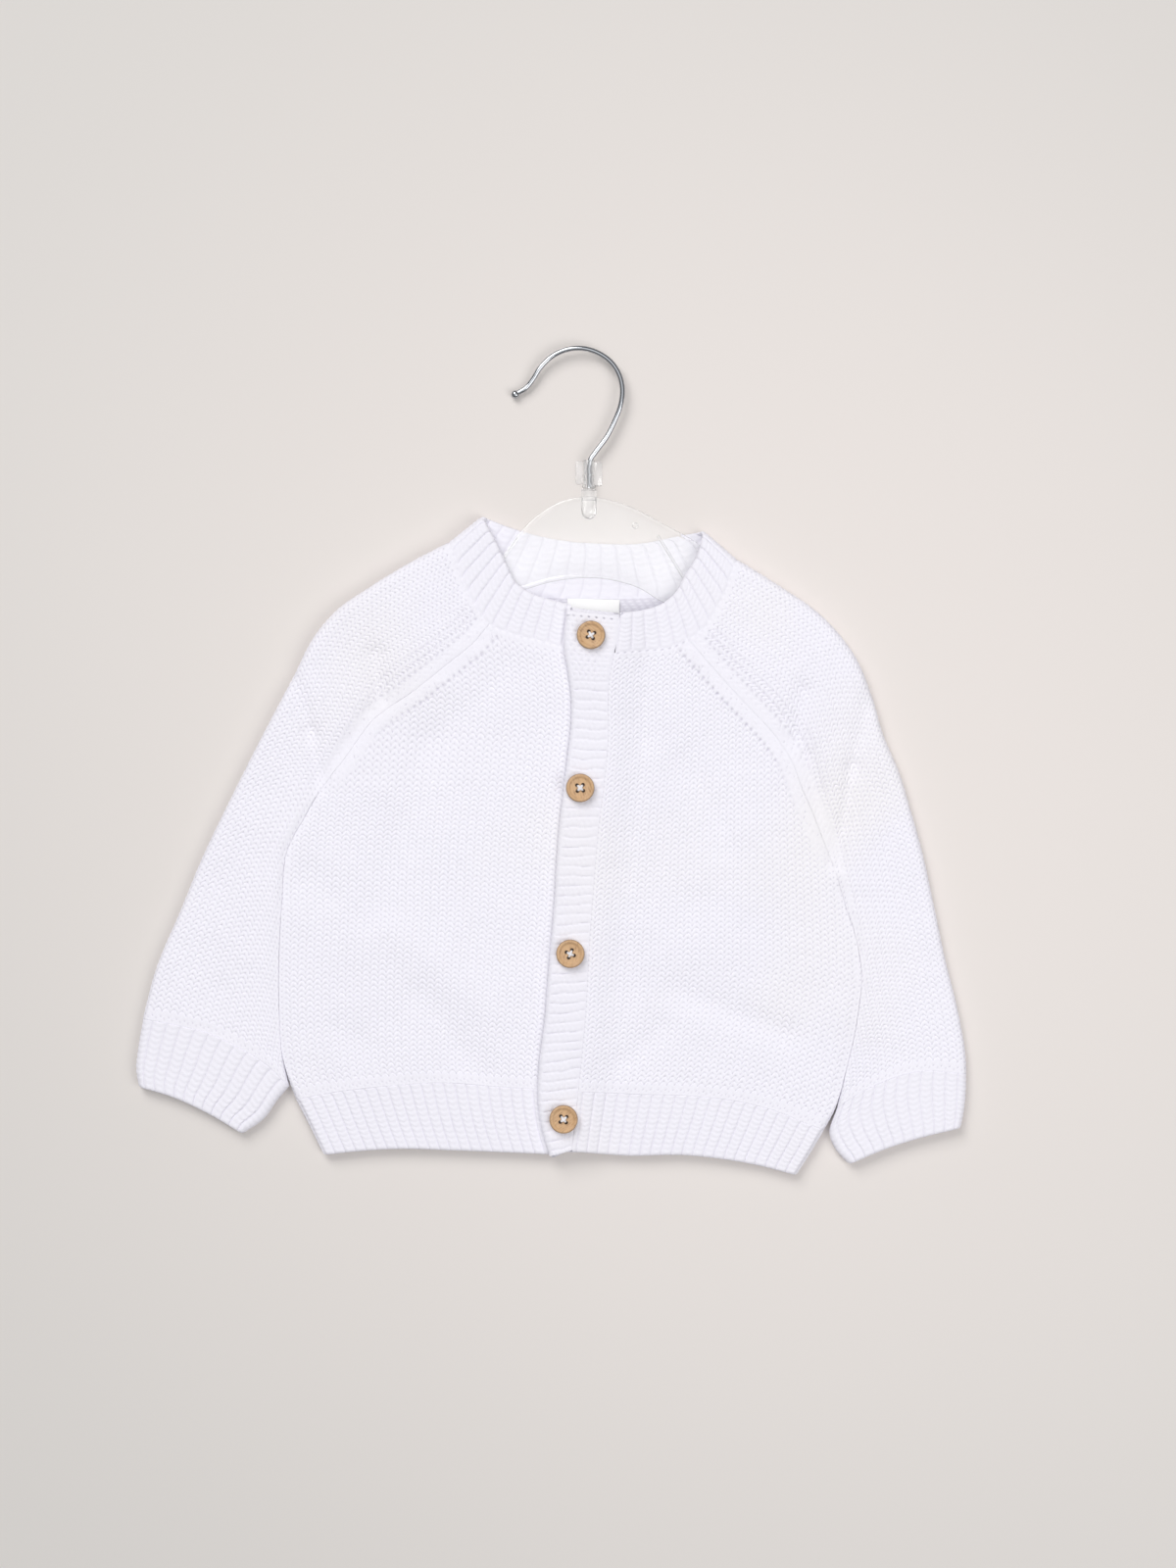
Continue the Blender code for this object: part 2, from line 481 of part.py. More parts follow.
def back_and_hem(knit, rib):
    """The back and its hem, flat on the surface, their side edges turned up to meet the fronts."""
    right_top, left_top = NECK_BACK(BACK_RAGLAN_AT["right"]), NECK_BACK(BACK_RAGLAN_AT["left"])
    share = BACK_UNDERARM
    edges = (joined(curve(SIDE_RIGHT), with_top(BACK_RAGLAN_RIGHT, right_top), share),
             joined(curve(SIDE_LEFT), with_top(BACK_RAGLAN_LEFT, left_top), share))
    top_line = stretch(NECK_BACK, BACK_RAGLAN_AT["right"], BACK_RAGLAN_AT["left"])
    plan = patch(curve(HEM_TOP_BACK), top_line, *edges)
    rows = levels(share)
    radii = [side_round(rows, share, side_top(*edge(rows).T) / 2) for edge in edges]
    cloth("back", layer(plan, rows, np.linspace(0, 1, 15), None, first=radii[0], last=radii[1],
                        steps=(ROUND_STEPS, ROUND_STEPS), under=True), knit)

    sides = curve(HEM_SIDE_RIGHT), curve(HEM_SIDE_LEFT)
    plan = patch(curve(HEM_EDGE_BACK), curve(HEM_TOP_BACK), *sides)
    rows = np.linspace(0, 1, 3)
    radii = [side_top(*line(rows).T) / 2 - SEAM_GAP / 2 for line in sides]
    cloth("hem_back", layer(plan, rows, np.linspace(0, 1, 15), None, first=radii[0], last=radii[1],
                            steps=(ROUND_STEPS, ROUND_STEPS), under=True), rib)


def tube(name, upper, lower, outer_line, rows, stations, top, inner_round, relief, material):
    """A flattened tube or raglan sleeve: upper layer, outer fold, lower layer, open seam at u = 0."""
    fold_at = outer_line(rows)
    fold = top(1.0, rows, fold_at[:, 0], fold_at[:, 1]) / 2
    sides = (SEAM_GAP, 0.0)
    above = layer(upper, rows, stations, top, first=inner_round, last=fold,
                  steps=(ROUND_STEPS, ROUND_STEPS), sides=sides, relief=relief)
    beneath = layer(lower, rows, np.linspace(0, 1, 9), top, first=inner_round, last=fold,
                    steps=(ROUND_STEPS, ROUND_STEPS), sides=sides, under=True)
    cloth(name, fold_over(above, turned(beneath)), material)


def sleeves_and_cuffs(knit, rib):
    """The raglan sleeves and their ribbed cuffs."""
    sizes = {
        "right": (SLEEVE_INNER_RIGHT, SLEEVE_OUTER_RIGHT, RAGLAN_RIGHT, BACK_RAGLAN_RIGHT, NECK_RIGHT,
                  CUFF_TOP_RIGHT, CUFF_EDGE_RIGHT, CUFF_INNER_RIGHT, CUFF_OUTER_RIGHT),
        "left": (SLEEVE_INNER_LEFT, SLEEVE_OUTER_LEFT, RAGLAN_LEFT, BACK_RAGLAN_LEFT, NECK_LEFT,
                 CUFF_TOP_LEFT, CUFF_EDGE_LEFT, CUFF_INNER_LEFT, CUFF_OUTER_LEFT),
    }
    for hand, (inner, outer, raglan, back_raglan, neck, cuff_top, cuff_edge, cuff_inner,
               cuff_outer) in sizes.items():
        at, back_at, share = RAGLAN_AT[hand], BACK_RAGLAN_AT[hand], SLEEVE_UNDERARM[hand]
        outer_line, cuff_line = curve(outer), curve(cuff_top)
        front_edge = joined(curve(inner), with_top(raglan, neck(at)), share)
        back_edge = joined(curve(inner), with_top(back_raglan, NECK_BACK(back_at)), share)
        corner = 0.0 if hand == "right" else 1.0
        upper = patch(cuff_line, stretch(neck, at, 1.0), front_edge, outer_line)
        lower = patch(cuff_line, stretch(NECK_BACK, back_at, corner), back_edge, outer_line)

        rows = levels(share)
        inner_round = side_round(rows, share, side_top(*front_edge(rows).T) / 2)
        tube("sleeve_" + hand, upper, lower, outer_line, rows, np.linspace(0, 1, 13), sleeve_top,
             inner_round, 0.0, knit)

        def cuff_height(u, v, x, y):
            return np.broadcast_to(SLEEVE_TOP[0][1], np.shape(x))

        plan = patch(curve(cuff_edge), cuff_line, curve(cuff_inner), curve(cuff_outer))
        stations, relief = ribs(CUFF_RIBS)
        radius = SLEEVE_TOP[0][1] / 2 - SEAM_GAP / 2
        tube("cuff_" + hand, plan, plan, curve(cuff_outer), np.linspace(0, 1, 4), stations,
             cuff_height, radius, relief, rib)


def neckband(rib):
    """The neckband: right front, over the right shoulder, across the back, and round to the left."""
    edges = curve(NECK_EDGE_RIGHT), curve(NECK_EDGE_LEFT), curve(NECK_EDGE_BACK)

    def top(u, v, x, y):
        return np.full(np.shape(x), NECK_TOP)

    def lapped_top(u, v, x, y):
        return NECK_TOP + lap_lift(x, y)

    rows = np.linspace(0, 1, 3)
    fold = NECK_TOP / 2
    fold_right = straight(NECK_RIGHT(1.0), edges[0](1.0))
    fold_left = straight(NECK_LEFT(1.0), edges[1](1.0))
    right = patch(NECK_RIGHT, edges[0], straight(NECK_RIGHT(0.0), edges[0](0.0)), fold_right)
    left = patch(NECK_LEFT, edges[1], straight(NECK_LEFT(0.0), edges[1](0.0)), fold_left)
    back = patch(NECK_BACK, edges[2], fold_right, fold_left)
    stations, relief = ribs(NECK_RIBS["right"], NECK_RIB_START["right"])
    part_right = layer(right, rows, stations, top, last=fold, steps=(1, ROUND_STEPS),
                       sides=(SEAM_GAP, 0.0), relief=relief)
    stations, relief = ribs(NECK_RIBS["left"], NECK_RIB_START["left"])
    part_left = layer(left, rows, stations, lapped_top, last=fold, steps=(1, ROUND_STEPS),
                      sides=(SEAM_GAP, 0.0), relief=relief)
    stations, relief = ribs(NECK_RIBS["back"])
    part_back = layer(back, rows, stations, top, first=fold, last=fold, sides=(0.0, 0.0),
                      steps=(ROUND_STEPS, ROUND_STEPS), relief=relief, under=True)
    cloth("neckband", fold_over(part_right, part_back, turned(part_left)), rib)


def front_bands(rib):
    """The buttonhole band with its cross ridges, and the plain button band under it."""
    def top(u, v, x, y):
        return centre_top(x, y)

    def lapped_top(u, v, x, y):
        return centre_top(x, y) + LAP_STEP

    upper = patch(straight(LAP_LINE(0.0), BAND_LINE(0.0)), straight(LAP_LINE(1.0), BAND_LINE(1.0)),
                  LAP_LINE, BAND_LINE)
    rows, ridge = ribs(BAND_RIDGES, *RIDGE_SPAN)
    cloth("buttonhole_band",
          layer(upper, rows, [0.0, *RIDGE_SIDES, 1.0], lapped_top, sides=(0.0, SEAM_GAP),
                relief=ridge[:, None] * np.array([0.0, 1.0, 1.0, 0.0])), rib)

    left_line, right_line = TUCK_LINE, shifted(BAND_LINE, -UNDER_BAND_INSET)
    lower = patch(straight(left_line(0.0), right_line(0.0)), straight(left_line(1.0), right_line(1.0)),
                  left_line, right_line)
    cloth("button_band", layer(lower, np.linspace(0, 1, 20), np.linspace(0, 1, 3), top), rib)


# ------------------------------------------------------------------ hard pieces
def as_mesh(obj):
    """A curve object turned into a welded mesh, with its place in the mesh."""
    graph = bpy.context.evaluated_depsgraph_get()
    mesh = bpy.data.meshes.new_from_object(obj.evaluated_get(graph))
    mesh.transform(obj.matrix_world)
    data = obj.data
    bpy.data.objects.remove(obj)
    bpy.data.curves.remove(data)
    solid = bmesh.new()
    solid.from_mesh(mesh)
    bmesh.ops.remove_doubles(solid, verts=solid.verts, dist=0.00001)
    bmesh.ops.recalc_face_normals(solid, faces=solid.faces)
    solid.to_mesh(mesh)
    solid.free()
    return mesh


def wire(points, radius):
    """A round wire along a line of points, as a mesh."""
    data = bpy.data.curves.new("wire", "CURVE")
    data.dimensions = "3D"
    data.bevel_depth = radius * MM
    data.bevel_resolution = 2
    data.use_fill_caps = True
    spline = data.splines.new("POLY")
    spline.points.add(len(points) - 1)
    spline.points.foreach_set("co", np.hstack((points * MM, np.ones((len(points), 1)))).ravel())
    obj = bpy.data.objects.new("wire", data)
    PARTS.objects.link(obj)
    return as_mesh(obj)


def sheet_of(outline, bottom, thickness):
    """A flat plate with a smooth outline, as a mesh."""
    solid = bmesh.new()
    corners = [solid.verts.new((x * MM, y * MM, bottom * MM)) for x, y in outline]
    face = solid.faces.new(corners)
    made = bmesh.ops.extrude_face_region(solid, geom=[face])
    raised = [item for item in made["geom"] if isinstance(item, bmesh.types.BMVert)]
    bmesh.ops.translate(solid, verts=raised, vec=(0.0, 0.0, thickness * MM))
    bmesh.ops.recalc_face_normals(solid, faces=solid.faces)
    mesh = bpy.data.meshes.new("plate")
    solid.to_mesh(mesh)
    solid.free()
    return mesh


def tool(name, mesh):
    """A hidden shape that a Boolean adds to a piece or cuts from it."""
    obj = bpy.data.objects.new(name, mesh)
    obj.hide_render = True
    obj.display_type = "WIRE"
    obj.parent = ROOT
    TOOLS.objects.link(obj)
    return obj


def combine(obj, other, operation):
    """A Boolean of a piece with a hidden shape."""
    modifier = obj.modifiers.new(operation.lower(), "BOOLEAN")
    modifier.operation = operation
    modifier.solver = "EXACT"
    modifier.object = other


def rod_mesh(radius, length, segments, centre, end="FLAT"):
    """A rod along +Y; a round end at its low side where asked."""
    solid = bmesh.new()
    bmesh.ops.create_cone(solid, cap_ends=True, segments=segments, radius1=radius * MM,
                          radius2=radius * MM, depth=length * MM)
    if end == "ROUND":
        low = [face for face in solid.faces if face.normal.z < -0.9]
        for shrink, drop in ((0.86, 0.5), (0.5, 0.37)):
            made = bmesh.ops.extrude_face_region(solid, geom=low)
            bmesh.ops.delete(solid, geom=low, context="FACES_ONLY")
            low = [item for item in made["geom"] if isinstance(item, bmesh.types.BMFace)]
            points = [item for item in made["geom"] if isinstance(item, bmesh.types.BMVert)]
            for point in points:
                point.co.x *= shrink
                point.co.y *= shrink
                point.co.z -= drop * radius * MM
    mesh = bpy.data.meshes.new("rod")
    bmesh.ops.rotate(solid, verts=solid.verts, matrix=TURN_TO_Y)
    bmesh.ops.translate(solid, verts=solid.verts, vec=[value * MM for value in centre])
    bmesh.ops.recalc_face_normals(solid, faces=solid.faces)
    solid.to_mesh(mesh)
    solid.free()
    return mesh


def buttons(wood):
    """Four-hole buttons: a turned, dished disc with a raised rim, each laid on the band."""
    radius, thick = BUTTON_DIAMETER / 2, BUTTON_THICKNESS
    solid = bmesh.new()
    points = [solid.verts.new((r * radius * MM, 0.0, z * thick * MM)) for r, z in BUTTON_PROFILE]
    lines = [solid.edges.new(pair) for pair in zip(points, points[1:])]
    bmesh.ops.spin(solid, geom=points + lines, cent=(0, 0, 0), axis=(0, 0, 1), steps=BUTTON_STEPS,
                   angle=math.tau, use_merge=True)
    bmesh.ops.remove_doubles(solid, verts=solid.verts, dist=0.00001)
    bmesh.ops.recalc_face_normals(solid, faces=solid.faces)
    mesh = bpy.data.meshes.new("button")
    solid.to_mesh(mesh)
    solid.free()
    mesh.shade_smooth()
    mesh.set_sharp_from_angle(angle=math.radians(35))
    drills = []
    for k in range(4):
        angle = math.pi / 4 + k * math.pi / 2
        drill = bmesh.new()
        bmesh.ops.create_cone(drill, cap_ends=True, segments=6, radius1=BUTTON_HOLE / 2 * MM,
                              radius2=BUTTON_HOLE / 2 * MM, depth=4 * thick * MM)
        bmesh.ops.translate(drill, verts=drill.verts,
                            vec=(BUTTON_HOLE_CIRCLE / 2 * math.cos(angle) * MM,
                                 BUTTON_HOLE_CIRCLE / 2 * math.sin(angle) * MM, thick / 2 * MM))
        shape = bpy.data.meshes.new("button_hole")
        drill.to_mesh(shape)
        drill.free()
        drills.append(shape)
    for number, (x, y) in enumerate(BUTTONS, 1):
        ring = np.linspace(0, math.tau, 13)
        around_x, around_y = x + radius * np.cos(ring), y + radius * np.sin(ring)
        band_top = centre_top(around_x, around_y).max() + LAP_STEP
        ridges = RIB_RELIEF if y < RIDGE_TOP else 0.0
        place = np.array((x, y, band_top + ridges + SEAM_GAP)) * MM
        button = new_object("button_%d" % number, mesh, wood)
        button.location = place
        for k, shape in enumerate(drills, 1):
            drill = tool("button_%d_hole_%d" % (number, k), shape)
            drill.location = place
            combine(button, drill, "DIFFERENCE")


def label(woven):
    """A plain woven tab, sewn under the back neckband."""
    solid = bmesh.new()
    bmesh.ops.create_cube(solid, size=1.0)
    bmesh.ops.scale(solid, verts=solid.verts, vec=[value * MM for value in LABEL_SIZE])
    mesh = bpy.data.meshes.new("label")
    solid.to_mesh(mesh)
    solid.free()
    tab = new_object("label", mesh, woven)
    tab.location = (LABEL_CENTRE[0] * MM, LABEL_CENTRE[1] * MM,
                    (KNIT_WALL + SEAM_GAP + LABEL_SIZE[2] / 2) * MM)
    tab.rotation_euler.z = math.radians(LABEL_TURN)


def hanger(clear):
    """The clear moulding: a plate with its arms, a rim and two stiffening bars, and the stem."""
    upper, lower = curve(HANGER_TOP)(np.linspace(0, 1, 34)), curve(HANGER_LOW)(np.linspace(0, 1, 26))
    outline = np.vstack((upper, lower))
    along = np.roll(outline, -1, axis=0) - np.roll(outline, 1, axis=0)
    inward = np.stack((along[:, 1], -along[:, 0]), axis=1) / np.linalg.norm(along, axis=1)[:, None]
    inset = outline + PLATE_RIM * inward
    keep = np.concatenate((np.arange(2, 32), np.arange(36, 58)))
    plate = new_object("hanger", sheet_of(outline, PLATE_BOTTOM, PLATE_RIM_HEIGHT), clear)
    hollow = sheet_of(inset[keep], PLATE_BOTTOM + PLATE_THICKNESS, PLATE_RIM_HEIGHT)
    combine(plate, tool("hanger_hollow", hollow), "DIFFERENCE")
    for number, (start, end) in enumerate(HANGER_BARS, 1):
        start, end = np.array(start), np.array(end)
        across = np.array((end[1] - start[1], start[0] - end[0]))
        across = across / np.linalg.norm(across) * BAR_WIDTH / 2
        bar = np.array((start - across, end - across, end + across, start + across))
        shape = sheet_of(bar, PLATE_BOTTOM + PLATE_THICKNESS / 2, PLATE_RIM_HEIGHT * 0.55)
        combine(plate, tool("hanger_bar_%d" % number, shape), "UNION")
    middle = PLATE_BOTTOM + PLATE_THICKNESS / 2
    stem = rod_mesh(STEM_RADIUS, STEM_TOP - STEM_BOTTOM - STEM_RADIUS * 0.87, 16,
                    (STEM_X, (STEM_TOP + STEM_BOTTOM + STEM_RADIUS * 0.87) / 2, middle), "ROUND")
    combine(plate, tool("hanger_stem", stem), "UNION")


def size_clip(clear):
    """The clear size marker: a block pushed over the root of the hook."""
    middle = PLATE_BOTTOM + PLATE_THICKNESS / 2
    centre_y = STEM_TOP + SEAM_GAP + CLIP_SIZE[1] / 2
    solid = bmesh.new()
    bmesh.ops.create_cube(solid, size=1.0)
    bmesh.ops.scale(solid, verts=solid.verts, vec=[value * MM for value in CLIP_SIZE])
    mesh = bpy.data.meshes.new("size_clip")
    solid.to_mesh(mesh)
    solid.free()
    clip = new_object("size_clip", mesh, clear)
    clip.location = (STEM_X * MM, centre_y * MM, middle * MM)
    bevel = clip.modifiers.new("edges", "BEVEL")
    bevel.width = 1.2 * MM
    bevel.segments = 2
    bore = rod_mesh(CLIP_BORE, CLIP_SIZE[1] * 2, 16, (CLIP_BORE_X, centre_y, middle))
    combine(clip, tool("clip_bore", bore), "DIFFERENCE")


def hook(steel):
    """The plated wire hook, with a ball on its end."""
    points = curve(HOOK)(np.linspace(0, 1, HOOK_POINTS))
    mesh = wire(points, WIRE_RADIUS)
    mesh.shade_smooth()
    mesh.set_sharp_from_angle(angle=math.radians(50))
    bent = new_object("hook", mesh, steel)
    ball = bmesh.new()
    bmesh.ops.create_uvsphere(ball, u_segments=12, v_segments=8, radius=BALL_RADIUS * MM)
    bmesh.ops.translate(ball, verts=ball.verts, vec=[value * MM for value in BALL_CENTRE])
    shape = bpy.data.meshes.new("hook_ball")
    ball.to_mesh(shape)
    ball.free()
    combine(bent, tool("hook_ball", shape), "UNION")


def material(name, colour, roughness, metallic=0.0, transmission=0.0):
    """A Principled material of one colour."""
    made = bpy.data.materials.new(name)
    made.use_nodes = True
    made.diffuse_color = (*colour, 1.0)
    shader = made.node_tree.nodes["Principled BSDF"]
    shader.inputs["Base Color"].default_value = (*colour, 1.0)
    shader.inputs["Roughness"].default_value = roughness
    shader.inputs["Metallic"].default_value = metallic
    shader.inputs["Transmission Weight"].default_value = transmission
    return made


def collection(name):
    """A new collection in the scene."""
    made = bpy.data.collections.new(name)
    bpy.context.scene.collection.children.link(made)
    return made


for old in list(bpy.data.objects):
    bpy.data.objects.remove(old)
PARTS = collection("baby_cardigan")
TOOLS = collection("cutters")
ROOT = bpy.data.objects.new("cardigan_origin", None)
PARTS.objects.link(ROOT)
KNIT = material("white_knit", (0.84, 0.83, 0.88), 0.95)
RIB = material("white_rib", (0.86, 0.85, 0.90), 0.95)
CLEAR = material("clear_plastic", (0.95, 0.96, 0.96), 0.08, transmission=0.9)

fronts_and_hems(KNIT, RIB)
back_and_hem(KNIT, RIB)
sleeves_and_cuffs(KNIT, RIB)
neckband(RIB)
front_bands(RIB)
buttons(material("button_wood", (0.45, 0.28, 0.15), 0.55))
label(material("label_satin", (0.93, 0.93, 0.93), 0.5))
hanger(CLEAR)
size_clip(CLEAR)
hook(material("plated_wire", (0.75, 0.76, 0.78), 0.15, metallic=1.0))

# The origin is the middle of the underside of the whole part.
bpy.context.view_layer.update()
GRAPH = bpy.context.evaluated_depsgraph_get()
CORNERS = np.array([obj.matrix_world @ Vector(corner)
                    for obj in (piece.evaluated_get(GRAPH) for piece in PARTS.objects if piece.data)
                    for corner in obj.bound_box])
LOW, HIGH = CORNERS.min(axis=0), CORNERS.max(axis=0)
ROOT.location = (-(LOW[0] + HIGH[0]) / 2, -(LOW[1] + HIGH[1]) / 2, -LOW[2])
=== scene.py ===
"""The looks of a hand-framed baby cardigan in white cotton, laid flat with its clear hanger.

Each cloth piece follows the form of its solid, in millimetres, with the stitches raised from it.
+Y points to the hook and +X to the wearer's left.
"""
import math

import bmesh
import bpy
import numpy as np
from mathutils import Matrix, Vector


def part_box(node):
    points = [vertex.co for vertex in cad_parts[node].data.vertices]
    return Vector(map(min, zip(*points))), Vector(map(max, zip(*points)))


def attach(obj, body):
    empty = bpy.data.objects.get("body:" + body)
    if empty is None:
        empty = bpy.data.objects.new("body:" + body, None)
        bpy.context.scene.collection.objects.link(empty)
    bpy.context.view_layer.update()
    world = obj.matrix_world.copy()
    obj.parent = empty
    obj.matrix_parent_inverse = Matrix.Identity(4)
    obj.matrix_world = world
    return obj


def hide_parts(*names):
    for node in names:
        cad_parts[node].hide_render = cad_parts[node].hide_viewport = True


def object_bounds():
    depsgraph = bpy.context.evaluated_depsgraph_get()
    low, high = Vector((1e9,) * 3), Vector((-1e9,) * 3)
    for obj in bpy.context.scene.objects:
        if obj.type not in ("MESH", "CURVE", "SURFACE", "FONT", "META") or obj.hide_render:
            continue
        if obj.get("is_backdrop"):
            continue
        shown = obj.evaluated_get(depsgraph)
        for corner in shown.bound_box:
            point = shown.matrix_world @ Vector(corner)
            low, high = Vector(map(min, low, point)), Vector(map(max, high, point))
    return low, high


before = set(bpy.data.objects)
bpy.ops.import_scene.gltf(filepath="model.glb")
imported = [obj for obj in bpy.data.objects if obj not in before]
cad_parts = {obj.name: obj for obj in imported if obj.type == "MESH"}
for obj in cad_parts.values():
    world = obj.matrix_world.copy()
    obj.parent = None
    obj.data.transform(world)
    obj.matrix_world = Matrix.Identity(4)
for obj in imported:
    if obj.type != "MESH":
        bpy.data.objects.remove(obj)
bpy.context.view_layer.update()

# ------------------------------------------------------------------ back
# The back is one panel knitted to shape, in plain stockinette of a stout cotton. It lies on the
# surface with its side edges turned up to the side seams, and shows its wrong side, reverse
# stockinette, in the neck opening.
MM = 0.001
WALL = 2.2                # thickness of the knitted cloth
WALE = 3.75               # width of a stitch
SLANT = 0.75              # how far a stitch's legs rise from its middle to its sides, in courses
GAP = 0.003               # half of the open gap at a seam
EDGE_ROUND = 0.02         # radius of an edge that is linked to its neighbour
LEAST_ROUND = 0.2         # least radius inside a turned edge
PURL_LOFT = 0.45          # height of the arcs on the wrong side
THINNEST = 5.1            # height of two layers with nothing between them

# Corners where pieces meet: shoulder and neck, underarm, and side and hem rib.
SHOULDER = {"right": (-47.2, 99.4), "left": (84.9, 91.6)}
UNDERARM = {"right": (-105.8, -13.7), "left": (130.1, -51.5)}
SIDE_FOOT = {"right": (-117.0, -155.5), "left": (124.7, -169.4)}
NECK_BACK = [SHOULDER["right"], (-44.2, 94.4), (-35.6, 84.4), (-19.4, 76.6), (3.2, 74.2), (22.0, 73.8),
             (41.4, 74.2), (61.7, 76.2), (74.6, 81.2), (82.0, 86.8), SHOULDER["left"]]
# Where the raglans meet the neck edge, as shares of its length.
BACK_RAGLAN_AT = {"right": 0.19, "left": 0.863}
BACK_UNDERARM = 0.53      # how far up the back's edge the underarm is, as a share
RAGLAN_BACK = {"right": [UNDERARM["right"], (-86.9, 13.7), (-64.4, 38.5), (-43.0, 61.0)],
               "left": [UNDERARM["left"], (119.3, -24.5), (106.7, 4.7), (90.9, 38.5), (78.0, 61.0)]}
SIDE = {"right": [SIDE_FOOT["right"], (-119.3, -149.2), (-123.3, -134.8), (-124.7, -114.5),
                  (-124.7, -88.9), (-123.3, -63.7), (-120.6, -40.3), (-113.9, -27.7),
                  UNDERARM["right"]],
        "left": [SIDE_FOOT["left"], (129.2, -160.9), (134.6, -142.9), (138.2, -128.0),
                 (140.4, -115.4), (141.8, -101.9), (141.0, -90.0), (139.1, -80.8),
                 (134.6, -67.3), UNDERARM["left"]]}
HEM_TOP_BACK = [SIDE_FOOT["right"], (-73.0, -149.5), (-20.0, -149.8), (50.0, -153.2),
                (100.0, -160.5), SIDE_FOOT["left"]]
# Height of the front layer's top at the sides, by y.
SIDE_TOP = [(-190.0, 5.6), (-150.0, 6.1), (-60.0, 6.6), (10.0, 7.0), (50.0, 8.4)]
# Soft folds: from x, y to x, y, height (below zero for a trough), half width.
FOLDS = [(-80.5, 48.0, -78.0, 28.0, -1.6, 5.0), (-83.0, 22.0, -104.0, -8.0, -1.2, 4.0),
         (-117.5, 36.0, -110.3, 12.4, -1.3, 4.5), (-110.3, 12.4, -105.8, -13.7, -1.3, 3.5),
         (115.5, 31.0, 113.0, 10.0, -1.5, 5.0), (117.0, 2.0, 129.0, -46.0, -1.2, 4.0),
         (146.0, 31.0, 138.0, -4.0, -1.3, 4.5), (138.0, -4.0, 130.1, -48.0, -1.4, 3.5),
         (-21.0, 42.0, -55.4, 7.0, -0.7, 9.0), (-55.4, 7.0, -80.0, -69.5, -0.9, 9.0),
         (-109.0, -56.0, -104.0, -62.0, -0.9, 9.0), (-96.0, -122.0, -92.0, -128.0, -0.7, 8.0),
         (-73.4, -78.5, -30.0, -112.0, 0.9, 10.0), (-60.0, -108.0, -32.0, -142.0, -0.9, 8.0),
         (61.7, -2.0, 82.0, -38.0, -1.0, 8.0), (88.7, -33.5, 90.9, -66.0, 0.7, 8.0),
         (57.2, -105.5, 106.0, -125.0, -1.2, 7.0), (34.7, -137.0, 50.0, -123.5, -0.8, 6.0),
         (36.0, 17.0, 42.0, 10.0, -0.7, 7.0)]

# The solids' origin is the middle of their box, and the first button tells where that is.
BUTTON_ONE = np.array((18.0, 56.9))
low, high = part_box("button_1")
SHIFT = np.array(((low.x + high.x) / 2, (low.y + high.y) / 2)) / MM - BUTTON_ONE


def curve(table):
    """A smooth curve through a table's rows: a cubic between two rows, with the slope at each row
    taken from its neighbours, read at fractions 0 to 1 of the length along the rows."""
    rows = np.asarray(table, float)
    knots = np.concatenate(([0.0], np.cumsum(np.linalg.norm(np.diff(rows, axis=0), axis=1))))
    knots = knots / knots[-1]
    slopes = np.gradient(rows, knots, axis=0)

    def at(t):
        t = np.clip(np.asarray(t, float), 0.0, 1.0)
        k = np.clip(np.searchsorted(knots, t, side="right") - 1, 0, len(knots) - 2)
        step = (knots[k + 1] - knots[k])[..., None]
        s = (t - knots[k])[..., None] / step
        return ((1 + 2 * s) * (1 - s) ** 2 * rows[k] + s * (1 - s) ** 2 * step * slopes[k]
                + s * s * (3 - 2 * s) * rows[k + 1] + s * s * (s - 1) * step * slopes[k + 1])
    return at


def stretch(line, start, end):
    """The part of a curve between two of its fractions."""
    return lambda t: line(start + (end - start) * np.asarray(t, float))


def joined(first, second, share):
    """Two curves end to end, the first taking that share of the fractions."""
    def at(t):
        t = np.asarray(t, float)
        return np.where((t < share)[..., None], first(t / share), second((t - share) / (1 - share)))
    return at


def patch(bottom, top, left, right):
    """Plan points between four edge curves, u from left to right and v from bottom to top: the
    sum of the two blends between facing edges, less the blend of the four corners."""
    def at(u, v):
        u, v = np.broadcast_arrays(np.asarray(u, float), np.asarray(v, float))
        a, b = u[..., None], v[..., None]
        corners = ((1 - a) * (1 - b) * bottom(0.0) + a * (1 - b) * bottom(1.0)
                   + (1 - a) * b * top(0.0) + a * b * top(1.0))
        return (1 - b) * bottom(u) + b * top(u) + (1 - a) * left(v) + a * right(v) - corners
    return at


def read(table, value):
    """A table of two columns, read between its rows."""
    rows = np.asarray(table, float)
    return np.interp(value, rows[:, 0], rows[:, 1])


def ease(t):
    """A smooth step from 0 to 1: 3t^2 - 2t^3."""
    t = np.clip(t, 0.0, 1.0)
    return t * t * (3 - 2 * t)


def folds(x, y):
    """The sum of all soft folds, each falling off as a bell curve away from its line."""
    total = np.zeros(np.shape(x))
    for x0, y0, x1, y1, height, reach in FOLDS:
        dx, dy = x1 - x0, y1 - y0
        t = np.clip(((x - x0) * dx + (y - y0) * dy) / (dx * dx + dy * dy), 0.0, 1.0)
        total = total + height * np.exp(-(np.hypot(x - x0 - t * dx, y - y0 - t * dy) / reach) ** 2)
    return total


def resting(height):
    """A top height, no lower than an upper layer lying on the one below it."""
    return np.maximum(height, THINNEST)


def side_top(x, y):
    """The top of the cloth along a side edge or a raglan."""
    return resting(read(SIDE_TOP, y) + folds(x, y))


def side_round(v, share, half_height):
    """A side edge's radius: half the height below the underarm, and nearly square along the raglan
    and where sleeve and body touch."""
    below = ease((share - np.asarray(v)) / 0.10) * (1 - 0.9 * touching(v, share))
    return EDGE_ROUND + (half_height - GAP - EDGE_ROUND) * below


